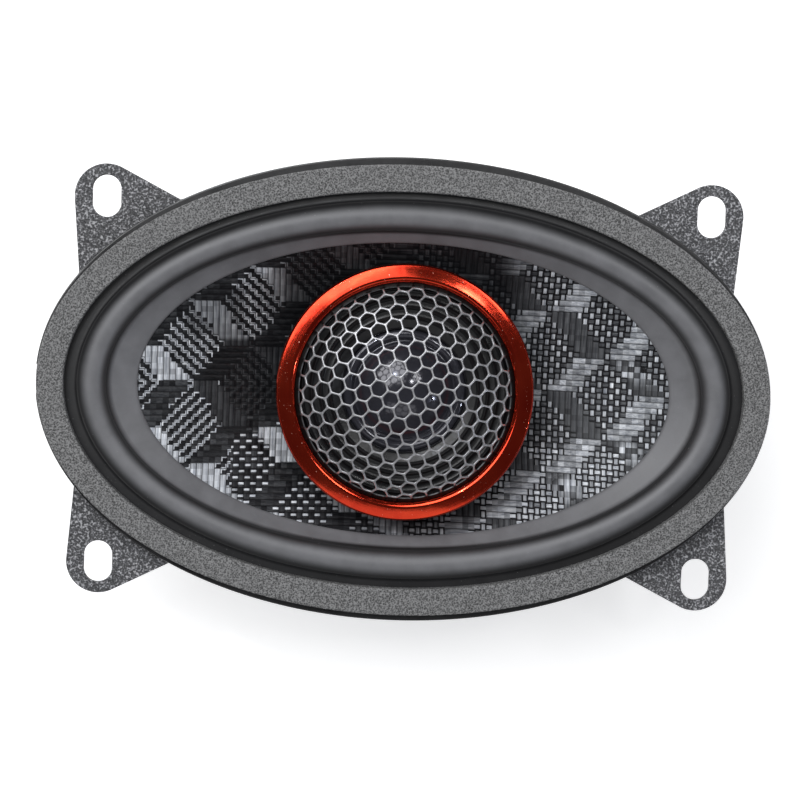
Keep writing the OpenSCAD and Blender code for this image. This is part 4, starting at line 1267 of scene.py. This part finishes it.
def dome_piece():
    high = size("tweeter_dome")[1][2]
    base, edge, film, roll_r, rim_r = 2.5, 10.2, 0.2, 1.05, 14.0
    rise = high - film - base
    ball = (edge ** 2 + rise ** 2) / (2 * rise)
    half = math.asin(edge / ball)
    roll_mid = edge + 0.5 + roll_r

    def arc(lift):
        return [((ball + lift) * math.sin(k), base + rise - ball + (ball + lift) * math.cos(k))
                for k in np.linspace(half, 0, 40)]

    def roll(r, first, last):
        return [(roll_mid + r * math.cos(k), base + r * math.sin(k))
                for k in np.radians(np.linspace(first, last, 20))]

    upper = [(rim_r, base + 0.01), (rim_r, base + film)] + roll(roll_r + 0.1, 10, 170) + arc(film)
    lower = arc(0)[::-1] + roll(roll_r - 0.1, 180, 0)
    piece = solid_lathe("tweeter_film", (lower + upper)[::-1], "dome_film", 160, 60)
    place_between(piece, "tweeter_dome",
                  lambda p: (roll_mid + roll_r - np.hypot(p[:, 0], p[:, 1])) / (2 * roll_r))


dome_piece()


# ---- Terminals and wires ----

RIVETS = (-46.5, -51.5)                 # x of the board's rivets
BLADE_X, BLADE_Y = -49, 8.8             # the blades' eyelets
CAP_X, CAP_Z = -42, -17.9


def board_piece():
    low, high = size("terminal_board")
    outline = rounded_loop([(low[0], low[1]), (high[0], low[1]), (high[0], high[1]), (low[0], high[1])], 0.7, 4, 2.0)
    holes = [circle_loop(x, 0, 1.3) for x in RIVETS] + [circle_loop(BLADE_X, y, 1.1) for y in (-BLADE_Y, BLADE_Y)]
    return flat_sheet("phenolic_card", [outline, *holes], low[2], high[2], 0.12, "phenolic_board")


even_normals(place(board_piece(), FRAME, "phenolic_board", "terminal_board"))


def blade_piece(name, node, side):
    low, high = size(node)
    half, y = (high[1] - low[1]) / 2, side * BLADE_Y
    outline = rounded_loop([(low[0] + 1, y - half), (high[0], y - half), (high[0], y + half), (low[0] + 1, y + half),
                            (low[0], y + half - 1), (low[0], y - half + 1)], [0.3, 0.2, 0.2, 0.3, 0.3, 0.3], 3, 1.5)
    holes = [circle_loop(BLADE_X, y, 1.1), circle_loop(low[0] + half, y, 0.8)]
    return flat_sheet(name, [outline, *holes], low[2], high[2], 0.16, "brass_blade")


for name, node, side in (("blade_wide", "terminal_positive", 1), ("blade_narrow", "terminal_negative", -1)):
    even_normals(place(blade_piece(name, node, side), FRAME, "brass_blade", node))


def capacitor_piece():
    r = 2.5
    body = solid_lathe("capacitor", [
        (0, -4.72), (1.7, -4.72), (1.95, -4.9), (2.3, -4.98), (r - 0.03, -4.7), (r, -4.4), (r, 2.8), (r - 0.18, 3.15),
        (r - 0.18, 3.45), (r, 3.8), (r, 4.6), (r - 0.12, 4.92), (2.1, 5.0), (1.95, 4.85), (0, 4.85),
    ], "capacitor_sleeve", 64)
    body.data.transform(Matrix.Translation(Vector((CAP_X, 0, CAP_Z)) * MM) @ Matrix.Rotation(math.radians(90), 4, "X"))
    return body


place(capacitor_piece(), FRAME, "capacitor_sleeve", "crossover_capacitor")
for name, steps, points in (
        ("capacitor_leg_in", 6, [(-4.8, 0), (-6.0, 0), (-7.3, 0)]),
        ("capacitor_leg_out", 8, [(4.8, 0), (6.4, 0), (7.15, -0.25), (7.4, -0.9), (7.4, -1.65)])):
    leg = smooth_line([(CAP_X, y, CAP_Z + z) for y, z in points], steps)
    place(tube(name, leg, 0.34, "nickel", 12), FRAME, "nickel")

RUN_Z = BACK + 0.8                      # height of the tweeter wires behind the yoke
TWEETER_ROUTE = [
    (-17, 0, 2.8), (-17, 0, 1), (-16.4, 0, -2), (-13.5, 0, -4.1), (-8, 0, -4.3), (-3.2, 0, -4.3), (-0.6, 0, -5.8),
    (0, 0, -9), (0, 0, -24), (0, 0, -39), (-0.7, 0, RUN_Z + 1.6), (-3.4, 0, RUN_Z), (-9, 0, RUN_Z), (-22, 0, RUN_Z),
    (-34, 0, RUN_Z), (-36.6, 0, RUN_Z + 1.2), (-37.6, 0, RUN_Z + 5), (-38, 0, -32), (-38, 0, -24),
]
POSITIVE_TAIL = [(-38, -0.5, -19.5), (-38.2, -3.4, -18), (-39.4, -6, -17.9), (-41.6, -6.4, -17.9)]
NEGATIVE_TAIL = [(-38, -1.2, -21), (-38, -4.4, -19.4), (-39.4, -7.4, -19.3), (-42, -8.2, -19.3)]
TINSEL_ROUTE = [
    (-45, 8.8, -19.2), (-46, 8.8, -17), (-46.4, 8.6, -13), (-45, 8.2, -9.4), (-41, 7.4, -8.2), (-36, 6.6, -9.4),
    (-30, 5.8, -12), (-23, 4.8, -14.2), (-17, 3.6, -15.05), (-13.2, 2.8, -15.2),
]

for name, node, y, tail, finish in (
        ("tweeter_wire_red", "tweeter_lead_positive", 0.7, POSITIVE_TAIL, "red_wire"),
        ("tweeter_wire_black", "tweeter_lead_negative", -0.7, NEGATIVE_TAIL, "black_wire")):
    route = [(px, py + y, pz) for px, py, pz in TWEETER_ROUTE] + tail
    place(tube(name, smooth_line(route, 12), 0.4, finish, 14), FRAME, finish, node)

for name, node, side in (("tinsel_braid_left", "tinsel_lead_positive", 1),
                         ("tinsel_braid_right", "tinsel_lead_negative", -1)):
    route = [(px, side * py, pz) for px, py, pz in TINSEL_ROUTE]
    braid = tube(name, smooth_line(route, 40), 0.45, "tinsel", 24, weave=(8, 2.2, 0.16))
    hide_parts(node)
    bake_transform(braid)


# ---- CAD nodes that stay, with finer edges and a finish ----

KEPT = {
    "pole_yoke": ("plated_steel", 0.35), "motor_rivets": ("plated_steel", 0.0), "tweeter_post": ("nickel", 0.2),
    "post_sleeve": ("black_plastic", 0.2), "rear_washer": ("nickel", 0.12), "rear_nut": ("nickel", 0.2),
    "front_nut": ("nickel", 0.2), "tweeter_housing": ("black_plastic", 0.25),
    "tweeter_voice_coil": ("copper_wire", 0.0), "tweeter_pole_disc": ("plated_steel", 0.1),
    "tweeter_magnet": ("nickel", 0.15),
    "tweeter_yoke": ("plated_steel", 0.2), "board_rivets": ("nickel", 0.15), "terminal_eyelets": ("brass_blade", 0.12),
}
for node, (finish, edge) in KEPT.items():
    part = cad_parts[node]
    part.data.materials.clear()
    part.data.materials.append(FINISH[finish])
    part.data.shade_smooth()
    joined = part.modifiers.new("joined", "WELD")
    joined.merge_threshold = 0.0005 * MM
    if edge:
        bevel = part.modifiers.new("edges", "BEVEL")
        bevel.width, bevel.segments = edge * MM, 3
        bevel.limit_method, bevel.angle_limit = "ANGLE", math.radians(35)
    even_normals(part)


# ---- Floor, which rises far out like a studio's backdrop ----

FLOOR_STEPS = 96
floor_rings = [(60, 0), (250, 0), (900, 0), (2400, 0), (3600, 60), (4800, 330), (5700, 850), (6200, 1300)]
floor_points = oval_grid([(r, r, z) for r, z in floor_rings], FLOOR_STEPS)
floor_points = np.concatenate([floor_points, [[0, 0, 0]]]) + [0, 0, BACK - 0.02]
around = np.arange(FLOOR_STEPS)
centre_fan = np.stack([(around + 1) % FLOOR_STEPS, around, np.full(FLOOR_STEPS, len(floor_points) - 1)], -1)
floor = build("floor", floor_points, [grid_faces(len(floor_rings), FLOOR_STEPS), centre_fan], ["floor"] * 2, 180)
if floor.data.polygons[0].normal.z < 0:
    floor.data.flip_normals()
